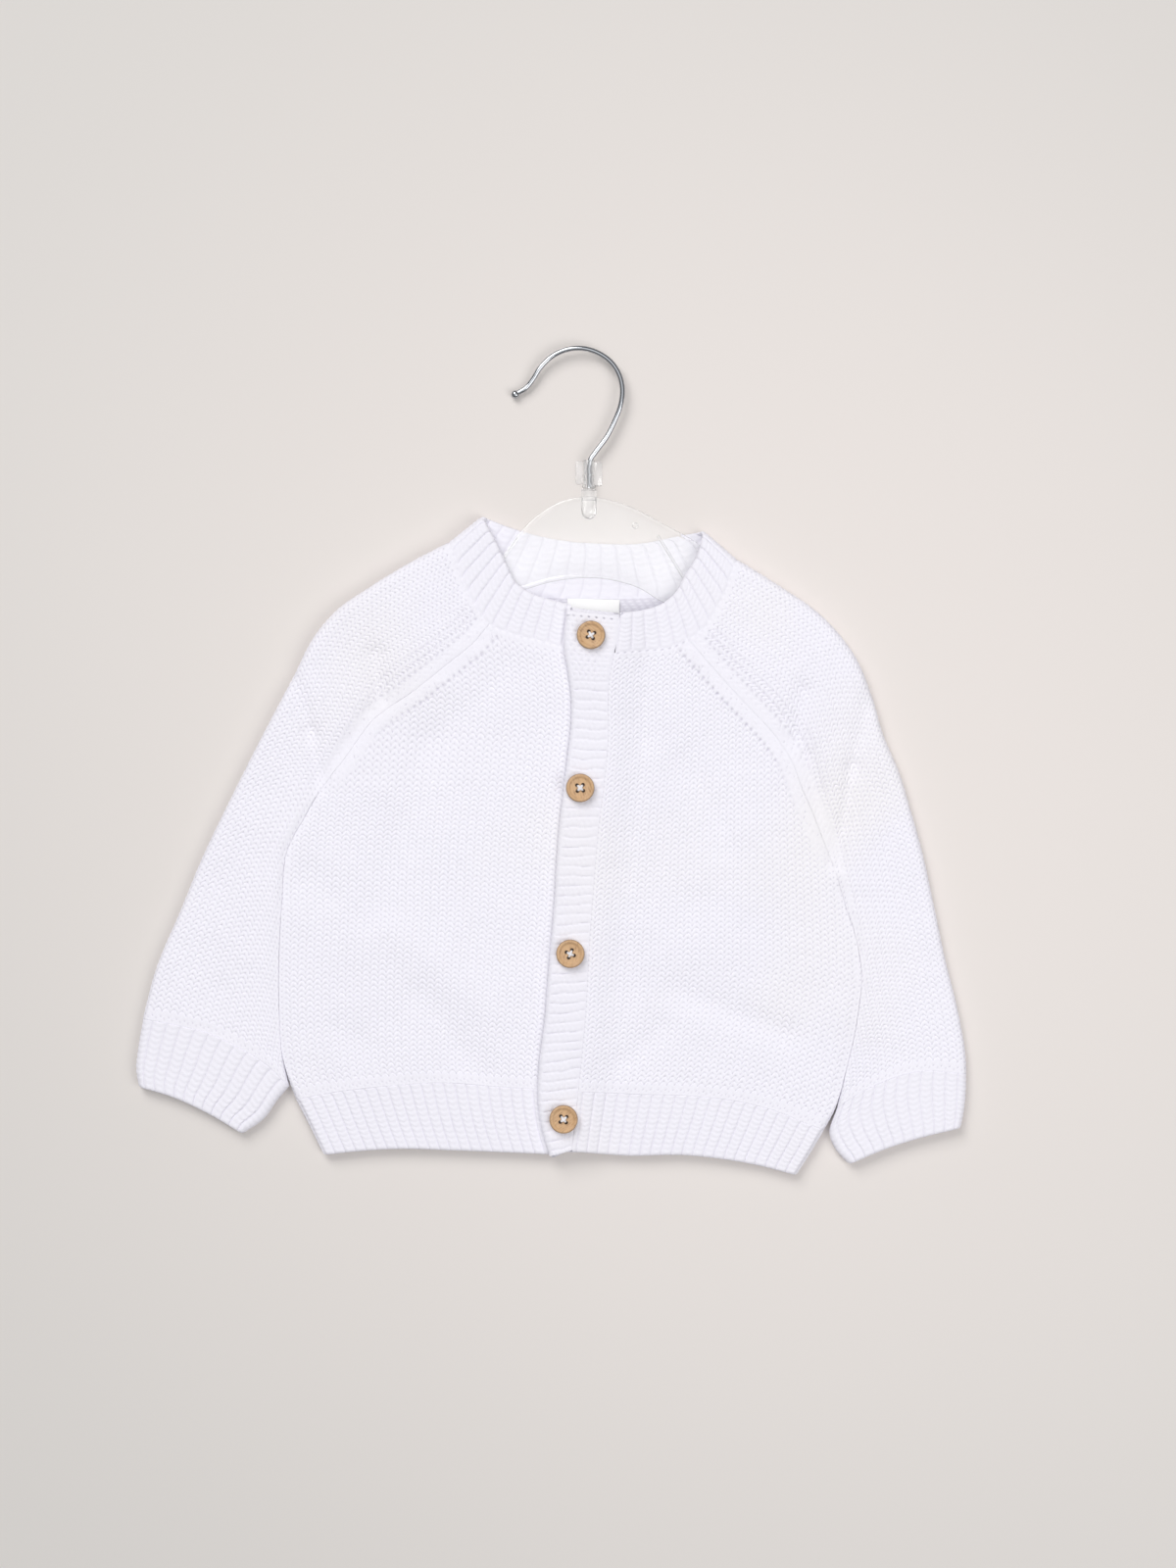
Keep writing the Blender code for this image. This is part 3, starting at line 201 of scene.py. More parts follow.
def touching(v, share):
    """1 along the side where the sleeve lies against the body, 0 at the hem and at the underarm."""
    return ease(np.asarray(v) / 0.1) * ease((share - np.asarray(v)) / 0.05)


def side_flat(v, share):
    """The width of a side edge's round to its height: squeezed flat where sleeve and body touch."""
    return 1 - 0.94 * touching(v, share)


def side_dip(v, share):
    """How far the cloth sinks at the seam where sleeve and body touch."""
    return 0.9 * touching(v, share)


def edge_radius(edge, share):
    """A side edge's radius along a curve whose underarm is at that share of its length."""
    return side_round(share_v, share, (side_top(*edge(share_v).T) - side_dip(share_v, share)) / 2)


def lengths(plan, fractions):
    """The length of the patch's row at each fraction v, measured along 40 chords."""
    line = plan(np.linspace(0, 1, 41)[None, :], np.asarray(fractions)[:, None])
    return np.linalg.norm(np.diff(line, axis=1), axis=-1).sum(axis=1)


share_v = np.linspace(0, 1, 161)


class Layer:
    """One thickness of cloth over a patch. A point is told by a, its distance along the cloth
    from the row's first edge, and v. Both edges of a row are quarter ellipses of their own height
    r and flatness k: round an edge a turns into an angle a / r, the distance in plan into
    k r (1 - cos) and the drop below the top into r (1 - sin). The top is a height worked out from
    u, v, x and y, or None for a layer that rests on the surface, with its outside down. The layer
    stays clear of the patch's edges by the gaps beside its rows and by the ends of its columns."""

    def __init__(self, plan, top, first=EDGE_ROUND, last=EDGE_ROUND, gaps=(GAP, GAP),
                 ends=(GAP, GAP), from_right=False, flat=(1.0, 1.0)):
        self.plan, self.top, self.gaps, self.ends, self.from_right = plan, top, gaps, ends, from_right
        self.v = share_v
        self.width = lengths(plan, self.v) - sum(gaps)
        self.u = np.linspace(0, 1, 61)
        self.height = lengths(lambda t, u: plan(u, t), self.u)
        self.first = np.broadcast_to(first, self.v.shape)
        self.last = np.broadcast_to(last, self.v.shape)
        self.flat = [np.broadcast_to(item, self.v.shape) for item in flat]
        self.full = (self.width + (math.pi / 2 - self.flat[0]) * self.first
                     + (math.pi / 2 - self.flat[1]) * self.last)

    def at(self, v, table):
        """One of the layer's tables, read at v."""
        return np.interp(v, self.v, table)

    def points(self, a, v):
        """Outer points, inner points, outward directions and distances to the four edges."""
        width, first, last, flat_a, flat_b = (self.at(v, table) for table in (
            self.width, self.first, self.last, *self.flat))
        full = self.at(v, self.full)
        a = np.clip(a, 0.0, full)
        turn_a = np.clip(a / first, 0.0, math.pi / 2)
        turn_b = np.clip((full - a) / last, 0.0, math.pi / 2)
        place = np.where(a < first * math.pi / 2, flat_a * first * (1 - np.cos(turn_a)),
                         a - (math.pi / 2 - flat_a) * first)
        place = np.where(full - a < last * math.pi / 2, width - flat_b * last * (1 - np.cos(turn_b)), place)
        drop = first * (1 - np.sin(turn_a)) + last * (1 - np.sin(turn_b))
        lean = np.cos(turn_b) * flat_b - np.cos(turn_a) * flat_a
        rise = np.sin(turn_a) * np.sin(turn_b)
        inside_a, inside_b = np.maximum(first - WALL, LEAST_ROUND), np.maximum(last - WALL, LEAST_ROUND)
        place_in = (place + (first - inside_a) * np.cos(turn_a) - (last - inside_b) * np.cos(turn_b))
        drop_in = WALL + inside_a * (1 - np.sin(turn_a)) + inside_b * (1 - np.sin(turn_b))
        span = width + sum(self.gaps)
        made = []
        for far, down in ((place, drop), (place_in, drop_in)):
            u = (self.gaps[0] + far) / span
            u = 1 - u if self.from_right else u
            height = np.interp(u, self.u, self.height)
            w = (self.ends[0] + v * (height - sum(self.ends))) / height
            spot = self.plan(u, w)
            z = down if self.top is None else self.top(u, w, spot[..., 0], spot[..., 1]) - down
            made.append((np.dstack((spot, z)), u, w, height))
        (outer, u, w, height), inner = made[0], made[1][0]
        step = 0.002
        way = self.plan(np.minimum(u + step, 1), w) - self.plan(np.maximum(u - step, 0), w)
        way = way / np.linalg.norm(way, axis=-1, keepdims=True) * (-1 if self.from_right else 1)
        up = rise if self.top is not None else -rise
        out = np.dstack((way * lean[..., None], up))
        return outer, inner, out, (a, full - a, v * height, (1 - v) * height)


def purls(s, t):
    """Reverse stockinette, 0 to 1: rows of small arcs, each row half a stitch beside the last."""
    def arcs(ds, dt):
        return np.exp(-((((s + ds) % 1) - 0.5) / 0.34) ** 2 - ((((t + dt) % 1) - 0.5) / 0.21) ** 2)
    return np.maximum(arcs(0.0, 0.0), arcs(0.5, 0.5))


def cloth(name, outer, inner, stitches, pits, worked, step=(1, 1), inside=0.0):
    """A closed wall between an outer and an inner grid. The inner face uses only every so many
    rows and columns; its border cells are polygons that take in the points between. Points that
    fall together, where a row has run out of cloth, are merged. The yarn is painted darker, as
    shade, by the pits of the outer face and by those of the inside, and is worked from 0, drawn
    only, to 1, in shape."""
    count_v, count_u = outer.shape[:2]
    number = np.arange(count_v * count_u).reshape(count_v, count_u)
    shift = count_v * count_u
    quads = np.stack((number[:-1, :-1], number[:-1, 1:], number[1:, 1:], number[1:, :-1]), axis=-1)
    faces = quads.reshape(-1, 4).tolist()
    rows = np.unique(np.append(np.arange(0, count_v - 1, step[0]), count_v - 1))
    columns = np.unique(np.append(np.arange(0, count_u - 1, step[1]), count_u - 1))
    below = (number + shift).tolist()

    def ring(r0, r1, c0, c1):
        low_row = below[r0][c0:c1] if r0 == 0 else [below[r0][c0]]
        right = ([below[r][c1] for r in range(r0, r1)] if c1 == count_u - 1 else [below[r0][c1]])
        high_row = below[r1][c1:c0:-1] if r1 == count_v - 1 else [below[r1][c1]]
        left = ([below[r][c0] for r in range(r1, r0, -1)] if c0 == 0 else [below[r1][c0]])
        return (low_row + right + high_row + left)[::-1]

    faces += [ring(r0, r1, c0, c1) for r0, r1 in zip(rows, rows[1:])
              for c0, c1 in zip(columns, columns[1:])]
    loop = np.concatenate((number[0, :-1], number[:-1, -1], number[-1, :0:-1], number[:0:-1, 0]))
    after = np.roll(loop, -1)
    faces += np.stack((after, loop, loop + shift, after + shift), axis=-1).tolist()
    points = np.concatenate((outer.reshape(-1, 3), inner.reshape(-1, 3)))
    points[:, :2] += SHIFT
    mesh = bpy.data.meshes.new(name)
    mesh.from_pydata((points * MM).tolist(), [], faces)
    corners = np.zeros(len(mesh.loops), np.int32)
    mesh.loops.foreach_get("vertex_index", corners)
    place = np.concatenate((stitches.reshape(-1, 2),) * 2)
    mesh.uv_layers.new(name="stitches").data.foreach_set("uv", place[corners].astype(np.float32).ravel())
    # Painted shade: the first attribute tells how much darker the yarn is drawn in its pits.
    for label, values in (("pit_shade", (pits, inside)), ("worked", (worked, 0.0 if np.isscalar(inside) else 1.0))):
        both = np.concatenate([np.broadcast_to(value, outer.shape[:2]).ravel() for value in values])
        mesh.attributes.new(label, "FLOAT", "POINT").data.foreach_set("value", both.astype(np.float32))
    solid = bmesh.new()
    solid.from_mesh(mesh)
    bmesh.ops.remove_doubles(solid, verts=solid.verts, dist=0.000002)
    loose = [vert for vert in solid.verts if not vert.link_faces]
    bmesh.ops.delete(solid, geom=loose, context="VERTS")
    bmesh.ops.recalc_face_normals(solid, faces=solid.faces)
    solid.to_mesh(mesh)
    solid.free()
    smooth(mesh, 60)
    return placed(name, mesh)


def smooth(mesh, sharp):
    """Smooth shading, except at edges that turn by more than that many degrees."""
    mesh.shade_smooth()
    mesh.set_sharp_from_angle(angle=math.radians(sharp))


def placed(name, data):
    """A new object in the scene."""
    piece = bpy.data.objects.new(name, data)
    bpy.context.scene.collection.objects.link(piece)
    return piece


def group(name, inputs, outputs):
    """An empty shader node group with named sockets, and its in and out nodes."""
    made = bpy.data.node_groups.new(name, "ShaderNodeTree")
    for label, kind, value in inputs:
        made.interface.new_socket(label, in_out="INPUT", socket_type=kind).default_value = value
    for label, kind in outputs:
        made.interface.new_socket(label, in_out="OUTPUT", socket_type=kind)
    return made, made.nodes.new("NodeGroupInput"), made.nodes.new("NodeGroupOutput")


def feed(tree, made, **links):
    """A node's inputs, linked or set: by name, or by number as i0, i1 and so on."""
    for key, value in links.items():
        socket = made.inputs[int(key[1:])] if key[1:].isdigit() else made.inputs[key.replace("_", " ")]
        if isinstance(value, bpy.types.NodeSocket):
            tree.links.new(value, socket)
        else:
            socket.default_value = value


def node(tree, kind, settings=None, **links):
    """A shader node with its settings and inputs."""
    made = tree.nodes.new(kind)
    for key, value in (settings or {}).items():
        setattr(made, key, value)
    feed(tree, made, **links)
    return made


def own_place(tree):
    """The piece's own coordinates, in metres."""
    return node(tree, "ShaderNodeTexCoord").outputs["Object"]


def noise(tree, place, scale, detail, **more):
    """Noise from 0 to 1 with so many features to a unit of its place."""
    return node(tree, "ShaderNodeTexNoise", Vector=place, Scale=scale, Detail=detail, **more).outputs["Fac"]


def blend(tree, share, first, second, kind="MIX"):
    """The first colour with that share of the second."""
    settings = {"data_type": "RGBA", "blend_type": kind, "clamp_factor": True}
    return node(tree, "ShaderNodeMix", settings, i0=share, i6=first, i7=second).outputs[2]


def bumped(tree, strength, distance, height):
    """The surface's direction, bumped by a height times a distance in metres."""
    made = node(tree, "ShaderNodeBump", Strength=strength, Distance=distance, Height=height)
    return made.outputs["Normal"]


def cotton_yarn():
    """Twisted cotton: a fine stripe along the stitches for the plies, fuzz from noise, painted shade
    deep between the legs, and drawn stitches where the cloth has none worked in its shape."""
    made, given, out = group(
        "cotton_yarn",
        [("Thread", "NodeSocketColor", (0.9, 0.9, 0.93, 1)), ("Warm", "NodeSocketColor", (0.9, 0.9, 0.9, 1)),
         ("Deep", "NodeSocketColor", (0.6, 0.6, 0.7, 1)), ("Fuzz", "NodeSocketFloat", 0.5)],
        [("Color", "NodeSocketColor"), ("Roughness", "NodeSocketFloat"), ("Normal", "NodeSocketVector")])
    place = own_place(made)
    stitch = node(made, "ShaderNodeUVMap", {"uv_map": "stitches"})
    pit_shade = node(made, "ShaderNodeAttribute", {"attribute_name": "pit_shade"})
    worked = node(made, "ShaderNodeAttribute", {"attribute_name": "worked"})
    part = node(made, "ShaderNodeSeparateXYZ", i0=stitch.outputs[0])

    def math_of(operation, first, second=0.0):
        return node(made, "ShaderNodeMath", {"operation": operation}, i0=first, i1=second).outputs[0]

    across = math_of("FRACT", part.outputs[0])
    q = math_of("MULTIPLY", math_of("ABSOLUTE", math_of("SUBTRACT", across, 0.5)), 2.0)
    phase = math_of("SUBTRACT", part.outputs[1], math_of("MULTIPLY", q, SLANT))
    leg = math_of("SINE", math_of("MULTIPLY", math_of("FRACT", phase), math.pi))
    arch = math_of("SINE", math_of("MULTIPLY", q, math.pi))
    drawn = math_of("MULTIPLY", leg, math_of("ADD", math_of("MULTIPLY", arch, 0.6), 0.4))
    drawn = math_of("MULTIPLY", drawn, math_of("SUBTRACT", 1.0, worked.outputs["Fac"]))
    plies = math_of("SINE", math_of("ADD", math_of("MULTIPLY", phase, 6 * math.pi),
                                    math_of("MULTIPLY", q, 7 * math.pi)))
    fuzz, cloud, patchy = (noise(made, place, *size) for size in ((1600.0, 3.0), (28.0, 2.0), (11.0, 1.0)))
    relief = math_of("ADD", math_of("MULTIPLY", drawn, 5.0),
                     math_of("ADD", math_of("MULTIPLY", plies, 0.22), fuzz))
    # Painted shade: the thread colour goes towards a darker shade tone by how deep a point lies between the
    # yarns, with a little noise.
    shade = pit_shade.outputs["Fac"]
    for uneven, strength in ((cloud, 0.16), (fuzz, 0.10)):
        shade = math_of("ADD", shade, math_of("MULTIPLY", math_of("SUBTRACT", uneven, 0.5), strength))
    tone = math_of("MULTIPLY", math_of("SUBTRACT", patchy, 0.54), 3.5)
    thread = blend(made, tone, given.outputs["Thread"], given.outputs["Warm"])
    feed(made, out, Color=blend(made, shade, thread, given.outputs["Deep"]),
         Roughness=math_of("ADD", math_of("MULTIPLY", fuzz, 0.12), 0.84),
         Normal=bumped(made, given.outputs["Fuzz"], 0.00012, relief))
    return made


YARN = cotton_yarn()


def new_material(name):
    """A new material, its node tree and its shader."""
    made = bpy.data.materials.new(name)
    made.use_nodes = True
    return made, made.node_tree, made.node_tree.nodes["Principled BSDF"]


def cotton(name, thread, warm, deep, fuzz):
    """A knitted cotton cloth of those thread colours."""
    made, tree, shader = new_material(name)
    yarn = node(tree, "ShaderNodeGroup", {"node_tree": YARN}, Thread=thread, Warm=warm, Deep=deep,
                Fuzz=fuzz).outputs
    feed(tree, shader, Base_Color=yarn["Color"], Roughness=yarn["Roughness"], Normal=yarn["Normal"],
         Sheen_Weight=0.15, Sheen_Roughness=0.5, Specular_IOR_Level=0.2)
    return made


# The colour of the painted shade in the holes and grooves between the yarns.
PAINTED_SHADE_TONE = (0.68, 0.66, 0.74, 1)
WHITE_KNIT = cotton("white_knit", (0.935, 0.92, 0.99, 1), (0.935, 0.915, 0.935, 1), PAINTED_SHADE_TONE, 0.4)


def stand_for(piece, solid):
    """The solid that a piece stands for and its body."""
    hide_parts(solid)
    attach(piece, "root")


def dress(piece, material, slot, flat, area, rests_on, solid):
    """Material, solid stood for and body of a cloth piece; its slot and cut are not used."""
    piece.data.materials.append(material)
    stand_for(piece, solid)


neck_back = curve(NECK_BACK)
side = {hand: curve(table) for hand, table in SIDE.items()}
back_edge = {}
for hand in ("right", "left"):
    raglan = curve(RAGLAN_BACK[hand] + [tuple(neck_back(BACK_RAGLAN_AT[hand]))])
    back_edge[hand] = joined(side[hand], raglan, BACK_UNDERARM)
back_plan = patch(curve(HEM_TOP_BACK), stretch(neck_back, *BACK_RAGLAN_AT.values()),
                  back_edge["right"], back_edge["left"])
rounds = [edge_radius(back_edge[hand], BACK_UNDERARM) for hand in ("right", "left")]
layer = Layer(back_plan, None, first=rounds[0], last=rounds[1], flat=(side_flat(share_v, BACK_UNDERARM),) * 2)
# The wrong side is worked only where the neck opening shows it.
BACK_COURSES, SHOWN_FROM = 88, 76     # courses in all, and the first of those that show
SHOWN_LEFT, SHOWN_RIGHT = 0.2, 0.86
rows = np.unique(np.concatenate((np.arange(0, SHOWN_FROM, 2.0),
                                 np.arange(SHOWN_FROM, BACK_COURSES + 0.1, 0.25))))
# Columns from one share of the width to another, and how many.
spans = ((0, 0.03, 7), (0.03, SHOWN_LEFT, 8), (SHOWN_LEFT, SHOWN_RIGHT, 300),
         (SHOWN_RIGHT, 0.97, 5), (0.97, 1, 7))
share = np.unique(np.concatenate([np.linspace(*span) for span in spans]))
t = np.broadcast_to(rows[:, None], (len(rows), len(share)))
a = share[None, :] * layer.at(t / BACK_COURSES, layer.full)
outer, inner, out, edges = layer.points(a, t / BACK_COURSES)
s = a / WALE
wrong = purls(s, t) * ease(rows[:, None] - SHOWN_FROM) * (share > SHOWN_LEFT) * (share < SHOWN_RIGHT)
inner = inner - out * (wrong * PURL_LOFT)[..., None]
# The wrong side gets painted shade between its arcs, where the neck opening shows it.
back = cloth("back_panel", outer, inner, np.dstack((s, t)), 0.0, 0.0,
             inside=(1 - wrong) * 0.8 * (rows[:, None] > SHOWN_FROM))
dress(back, WHITE_KNIT, "knit", (0.269, 0.239), 0.0521, ["floor"], "back")

# ------------------------------------------------------------------ fronts
# Two fronts knitted to shape in the same stockinette. Their raglan edges are fully fashioned: two
# wales follow the edge, and a line of small eyelets beside them shows where stitches were narrowed.
NECK_FRONT = {"right": [(7.0, 51.2), (-6.3, 54.7), (-18.0, 57.8), (-28.4, 62.3), (-36.0, 72.7),
                        (-42.0, 85.3), (-44.6, 94.4), SHOULDER["right"]],
              "left": [(29.0, 48.9), (42.8, 50.2), (54.5, 51.5), (62.1, 55.1), (69.3, 60.1),
                       (74.7, 68.2), (80.0, 79.4), (82.6, 86.6), SHOULDER["left"]]}
RAGLAN_AT = {"right": 0.47, "left": 0.44}
RAGLAN = {"right": [UNDERARM["right"], (-100.4, -6.5), (-94.5, 1.1), (-87.8, 10.6), (-81.9, 18.2),
                    (-75.6, 23.2), (-65.7, 29.6), (-48.6, 43.0), (-34.5, 54.8)],
          "left": [UNDERARM["left"], (124.2, -36.2), (119.7, -24.5), (114.8, -13.3), (109.4, 0.2),
                   (102.2, 11.0), (93.6, 20.4), (82.8, 31.9), (72.5, 43.4)]}
LAP_EDGE = [(-0.8, -181.8), (-4.6, -168.5), (-6.3, -155.0), (-5.9, -141.5), (-3.2, -119.0),
            (-1.4, -96.5), (0.9, -69.5), (3.2, -33.5), (6.8, -2.0), (9.0, 19.1), (9.0, 27.2),
            (7.7, 38.5), (5.6, 51.5), (7.2, 69.6)]
BAND_EDGE = [(9.2, -179.0), (12.2, -150.5), (14.9, -123.5), (17.6, -78.5), (21.2, -33.5),
             (25.7, 7.0), (26.6, 38.5), (28.6, 48.8), (30.6, 58.0), (31.0, 67.3)]
HEM_TOP = {"right": [SIDE_FOOT["right"], (-102.2, -152.6), (-73.4, -149.2), (-51.3, -147.8),
                     (-24.0, -149.6), (-4.2, -150.8)],
           "left": [SIDE_FOOT["left"], (118.4, -167.2), (103.0, -160.9), (87.8, -156.8),
                    (65.3, -153.9), (38.0, -153.0), (12.2, -151.6)]}
# The x of the outermost wale by y, where it runs on past the underarm.
OUTER_WALE = {"right": [(-160.0, -117.0), (-63.7, -123.3), (-40.3, -122.5), (10.0, -119.0), (60.0, -116.0)],
              "left": [(-170.0, 124.7), (-102.0, 141.8), (-80.8, 141.0), (-20.0, 138.0), (60.0, 136.0)]}
# Height of the front layer's top at the front centre, by y, and the share of a front's width over
# which it is reached.
CENTRE_TOP = [(-182.0, 6.0), (-150.0, 6.4), (-100.0, 6.8), (10.0, 7.0), (50.0, 8.4)]
FRONT_EASE = 0.45
LAP_STEP = 2.9            # how far the lapped front is raised at the buttonhole band
LAP_SLOPE = 18.0          # and how far beside the band it has come down again
TUCK = 2.0                # how far the right front runs in under the buttonhole band
ACROSS, ALONG = 6, 4      # points in a stitch, across and along
LOFT = 0.6                # height of a stitch's legs over the holes between them
PLAIN = 0.45              # relief at a seam, which presses the stitches flat: 0 a hole, 1 a leg
BORDER = 0.8              # how far from a seam the stitches reach their full height
DIP_REACH = 0.03          # share of a front's width over which it sinks to the side seam
SIDE_HALF = 3.3           # half of the garment's height at its side
FRONT_WALES, FRONT_COURSES = 34, 86
EDGE_WALE = 3.1           # width of the two wales that follow a raglan
EYELET_STEP, EYELET_SIZE = 3.2, 0.6
LINKING = 2.3             # width of the linked row under the neckband
LINK_STEP, HOLE_STEP = 2.2, 3.4     # length of its chain stitches, and from hole to hole above it
# The cut of each front: width and length in metres, area in square metres.
FRONT_CUT = {"right": ((0.127, 0.221), 0.0241), "left": ((0.126, 0.216), 0.0215)}

neck_front = {hand: curve(table) for hand, table in NECK_FRONT.items()}
band_line, lap_line = curve(BAND_EDGE), curve(LAP_EDGE)


def level_at(line, y):
    """The fraction at which a curve that runs upwards reaches the height y."""
    t = np.linspace(0.0, 1.0, 801)
    return float(np.interp(y, line(t)[:, 1], t))


def wander(x, y, size, seed):
    """Smooth unevenness from -1 to 1: seeded random values on a square lattice of that size,
    blended by smooth steps between its corners."""
    table = np.random.default_rng(seed).uniform(-1, 1, (64, 64))
    gx, gy = x / size, y / size
    i, j = np.floor(gx).astype(int), np.floor(gy).astype(int)
    a, b = ease(gx - i), ease(gy - j)
    return ((1 - a) * (1 - b) * table[i % 64, j % 64] + a * (1 - b) * table[(i + 1) % 64, j % 64]
            + (1 - a) * b * table[i % 64, (j + 1) % 64] + a * b * table[(i + 1) % 64, (j + 1) % 64])


def centre_top(x, y):
    """The top of the cloth along the front centre."""
    return resting(read(CENTRE_TOP, y) + folds(x, y))


def front_top(u, x, y):
    """The top of the front layer, u from 0 at the side edge to 1 at the front centre."""
    return side_top(x, y) + ease(u / FRONT_EASE) * (centre_top(x, y) - side_top(x, y))


def courses_of(count):
    """Row positions in courses: so many in each, and two more close to either end."""
    return np.unique(np.concatenate((np.arange(0, count * ALONG + 1) / ALONG,
                                     (0.05, 0.13, count - 0.13, count - 0.05))))


def woven_grid(layer, wales, rows, count, pitch, slant=SLANT, fade=4.0, start=0.0):
    """A grid whose rows slant up from each wale's middle to its sides, as the legs of the stitches
    do; the slant fades towards all edges of the cloth. It gives the distances a, the fractions v,
    and the places s and t in wales and courses."""
    a = start + np.asarray(wales, float)[None, :] * np.asarray(pitch, float)
    q = np.abs((np.asarray(wales) % 1) - 0.5)[None, :] * 2
    t = np.asarray(rows, float)[:, None]
    left = layer.at(t / count, layer.full) - a
    t = t + slant * q * ease(left / fade) * ease(t / 1.5) * ease((count - t) / 1.5)
    return a, t / count, np.broadcast_to(np.asarray(wales)[None, :], t.shape), t


def legs(s, t, seed=1, slant=SLANT):
    """Stockinette, 0 in the holes and 1 on the yarn: each stitch has two legs that rise from its
    middle outwards. The valley between two courses, (2x-1)^4, is a hole at both ends of a leg and
    shallow at its middle, where the legs lie close."""
    q = np.abs((s % 1) - 0.5) * 2
    phase = t - slant * q
    valley, end = (2 * (phase % 1) - 1) ** 4, (2 * q - 1) ** 2
    table = np.random.default_rng(seed).uniform(0.85, 1.0, (97, 89))
    each = table[np.floor(s * 2).astype(int) % 97, np.floor(phase).astype(int) % 89]
    return np.clip(1 - valley * (0.45 + 0.55 * end) - 0.22 * end ** 2, 0.0, 1.0) * each


def depth_of(relief):
    """How deep a point lies between the yarns: 1 in a hole, 0 from halfway up a leg."""
    return np.clip((0.5 - relief) / 0.5, 0.0, 1.0) ** 1.5


def tuck_line(t):
    """The right front's edge, which runs in under the buttonhole band."""
    return lap_line(t) + np.array((TUCK, 0.0))


def lap_lift(x, y):
    """How far the lapped front is raised where it joins the buttonhole band."""
    edge = band_line(np.linspace(0.0, 1.0, 401))
    return LAP_STEP * (1 - ease((x - np.interp(y, edge[:, 1], edge[:, 0])) / LAP_SLOPE))


def beside(x, y, line):
    """Distance of each point from a curve, its length along the curve, and the curve's length."""
    dots = line(np.linspace(0.0, 1.0, 121))
    way = np.gradient(dots, axis=0)
    way /= np.linalg.norm(way, axis=1, keepdims=True)
    along = np.concatenate(([0.0], np.cumsum(np.linalg.norm(np.diff(dots, axis=0), axis=1))))
    flat = np.stack((np.ravel(x), np.ravel(y)), axis=1)
    nearest = ((flat[:, None, :] - dots[None]) ** 2).sum(axis=-1).argmin(axis=1)
    apart = flat - dots[nearest]
    on = (apart * way[nearest]).sum(axis=1)
    off = np.sqrt(np.maximum((apart ** 2).sum(axis=1) - np.minimum(on, 2.0) ** 2, 0.0))
    return off.reshape(np.shape(x)), (along[nearest] + on).reshape(np.shape(x)), along[-1]


def fashioned(relief, pits, spot, line, eyelets, depth):
    """Relief and pits with a raglan's edge worked in: two wales along the line, then rows of
    eyelets, as bell-shaped dips one course apart with painted shade in them, that fade towards
    the underarm."""
    away, along, total = beside(spot[..., 0], spot[..., 1], line)
    s, t = away / EDGE_WALE, along / EYELET_STEP
    upper = ease(along / 20.0)
    blend = upper * (1 - ease((away - 1.75 * EDGE_WALE) / 1.4))
    own = legs(s + 0.5 * (s > 2), t, seed=9)
    own = own + (0.6 - own) * np.exp(-(away / 0.8) ** 2)
    relief = relief * (1 - blend) + own * blend
    pits = pits * (1 - blend) + depth_of(own) * blend
    strong = ease((along / total - 0.15) / 0.5)
    for row, share_of in enumerate(eyelets):
        at = (2 + 1.1 * row) * EDGE_WALE
        beyond = (((t + 0.5 * row) % 1) - 0.5) * EYELET_STEP
        near = np.exp(-((away - at) / EYELET_SIZE) ** 2 - (beyond / EYELET_SIZE) ** 2) * strong * share_of
        # Each eyelet is sunk into the relief and given painted shade.
        relief, pits = relief - near * depth, np.maximum(pits, near * 1.5)
    return relief, pits


def from_seam(distance, v, share):
    """The distance from a side seam, counted four times along the raglan and where sleeve and body
    touch: there the stitches reach their full height that much sooner."""
    return distance * (1 + 3 * np.maximum(ease((v - share) / 0.05), touching(v, share)))


def linked(relief, pits, end, along, holes):
    """A linked seam along the top: a smooth row of small chain stitches, each half an ellipse across
    and half a sine along, and a row of bell-shaped dips above them, with painted shade in the
    chain's pits and in the dips."""
    row = 1 - ease((end - LINKING) / 0.7)
    chain = 0.55 + 0.45 * np.abs(np.sin(math.pi * along / LINK_STEP)) * np.sqrt(
        np.maximum(1 - ((end - LINKING / 2) / (LINKING / 2)) ** 2, 0.0))
    relief, pits = relief * (1 - row) + chain * row, pits * (1 - row) + depth_of(chain) * 0.5 * row
    beyond = (((along / HOLE_STEP) % 1) - 0.5) * HOLE_STEP
    hole = np.exp(-((end - 0.3) / 0.6) ** 2 - (beyond / 0.7) ** 2) * holes
    return relief - hole, np.maximum(pits, hole)


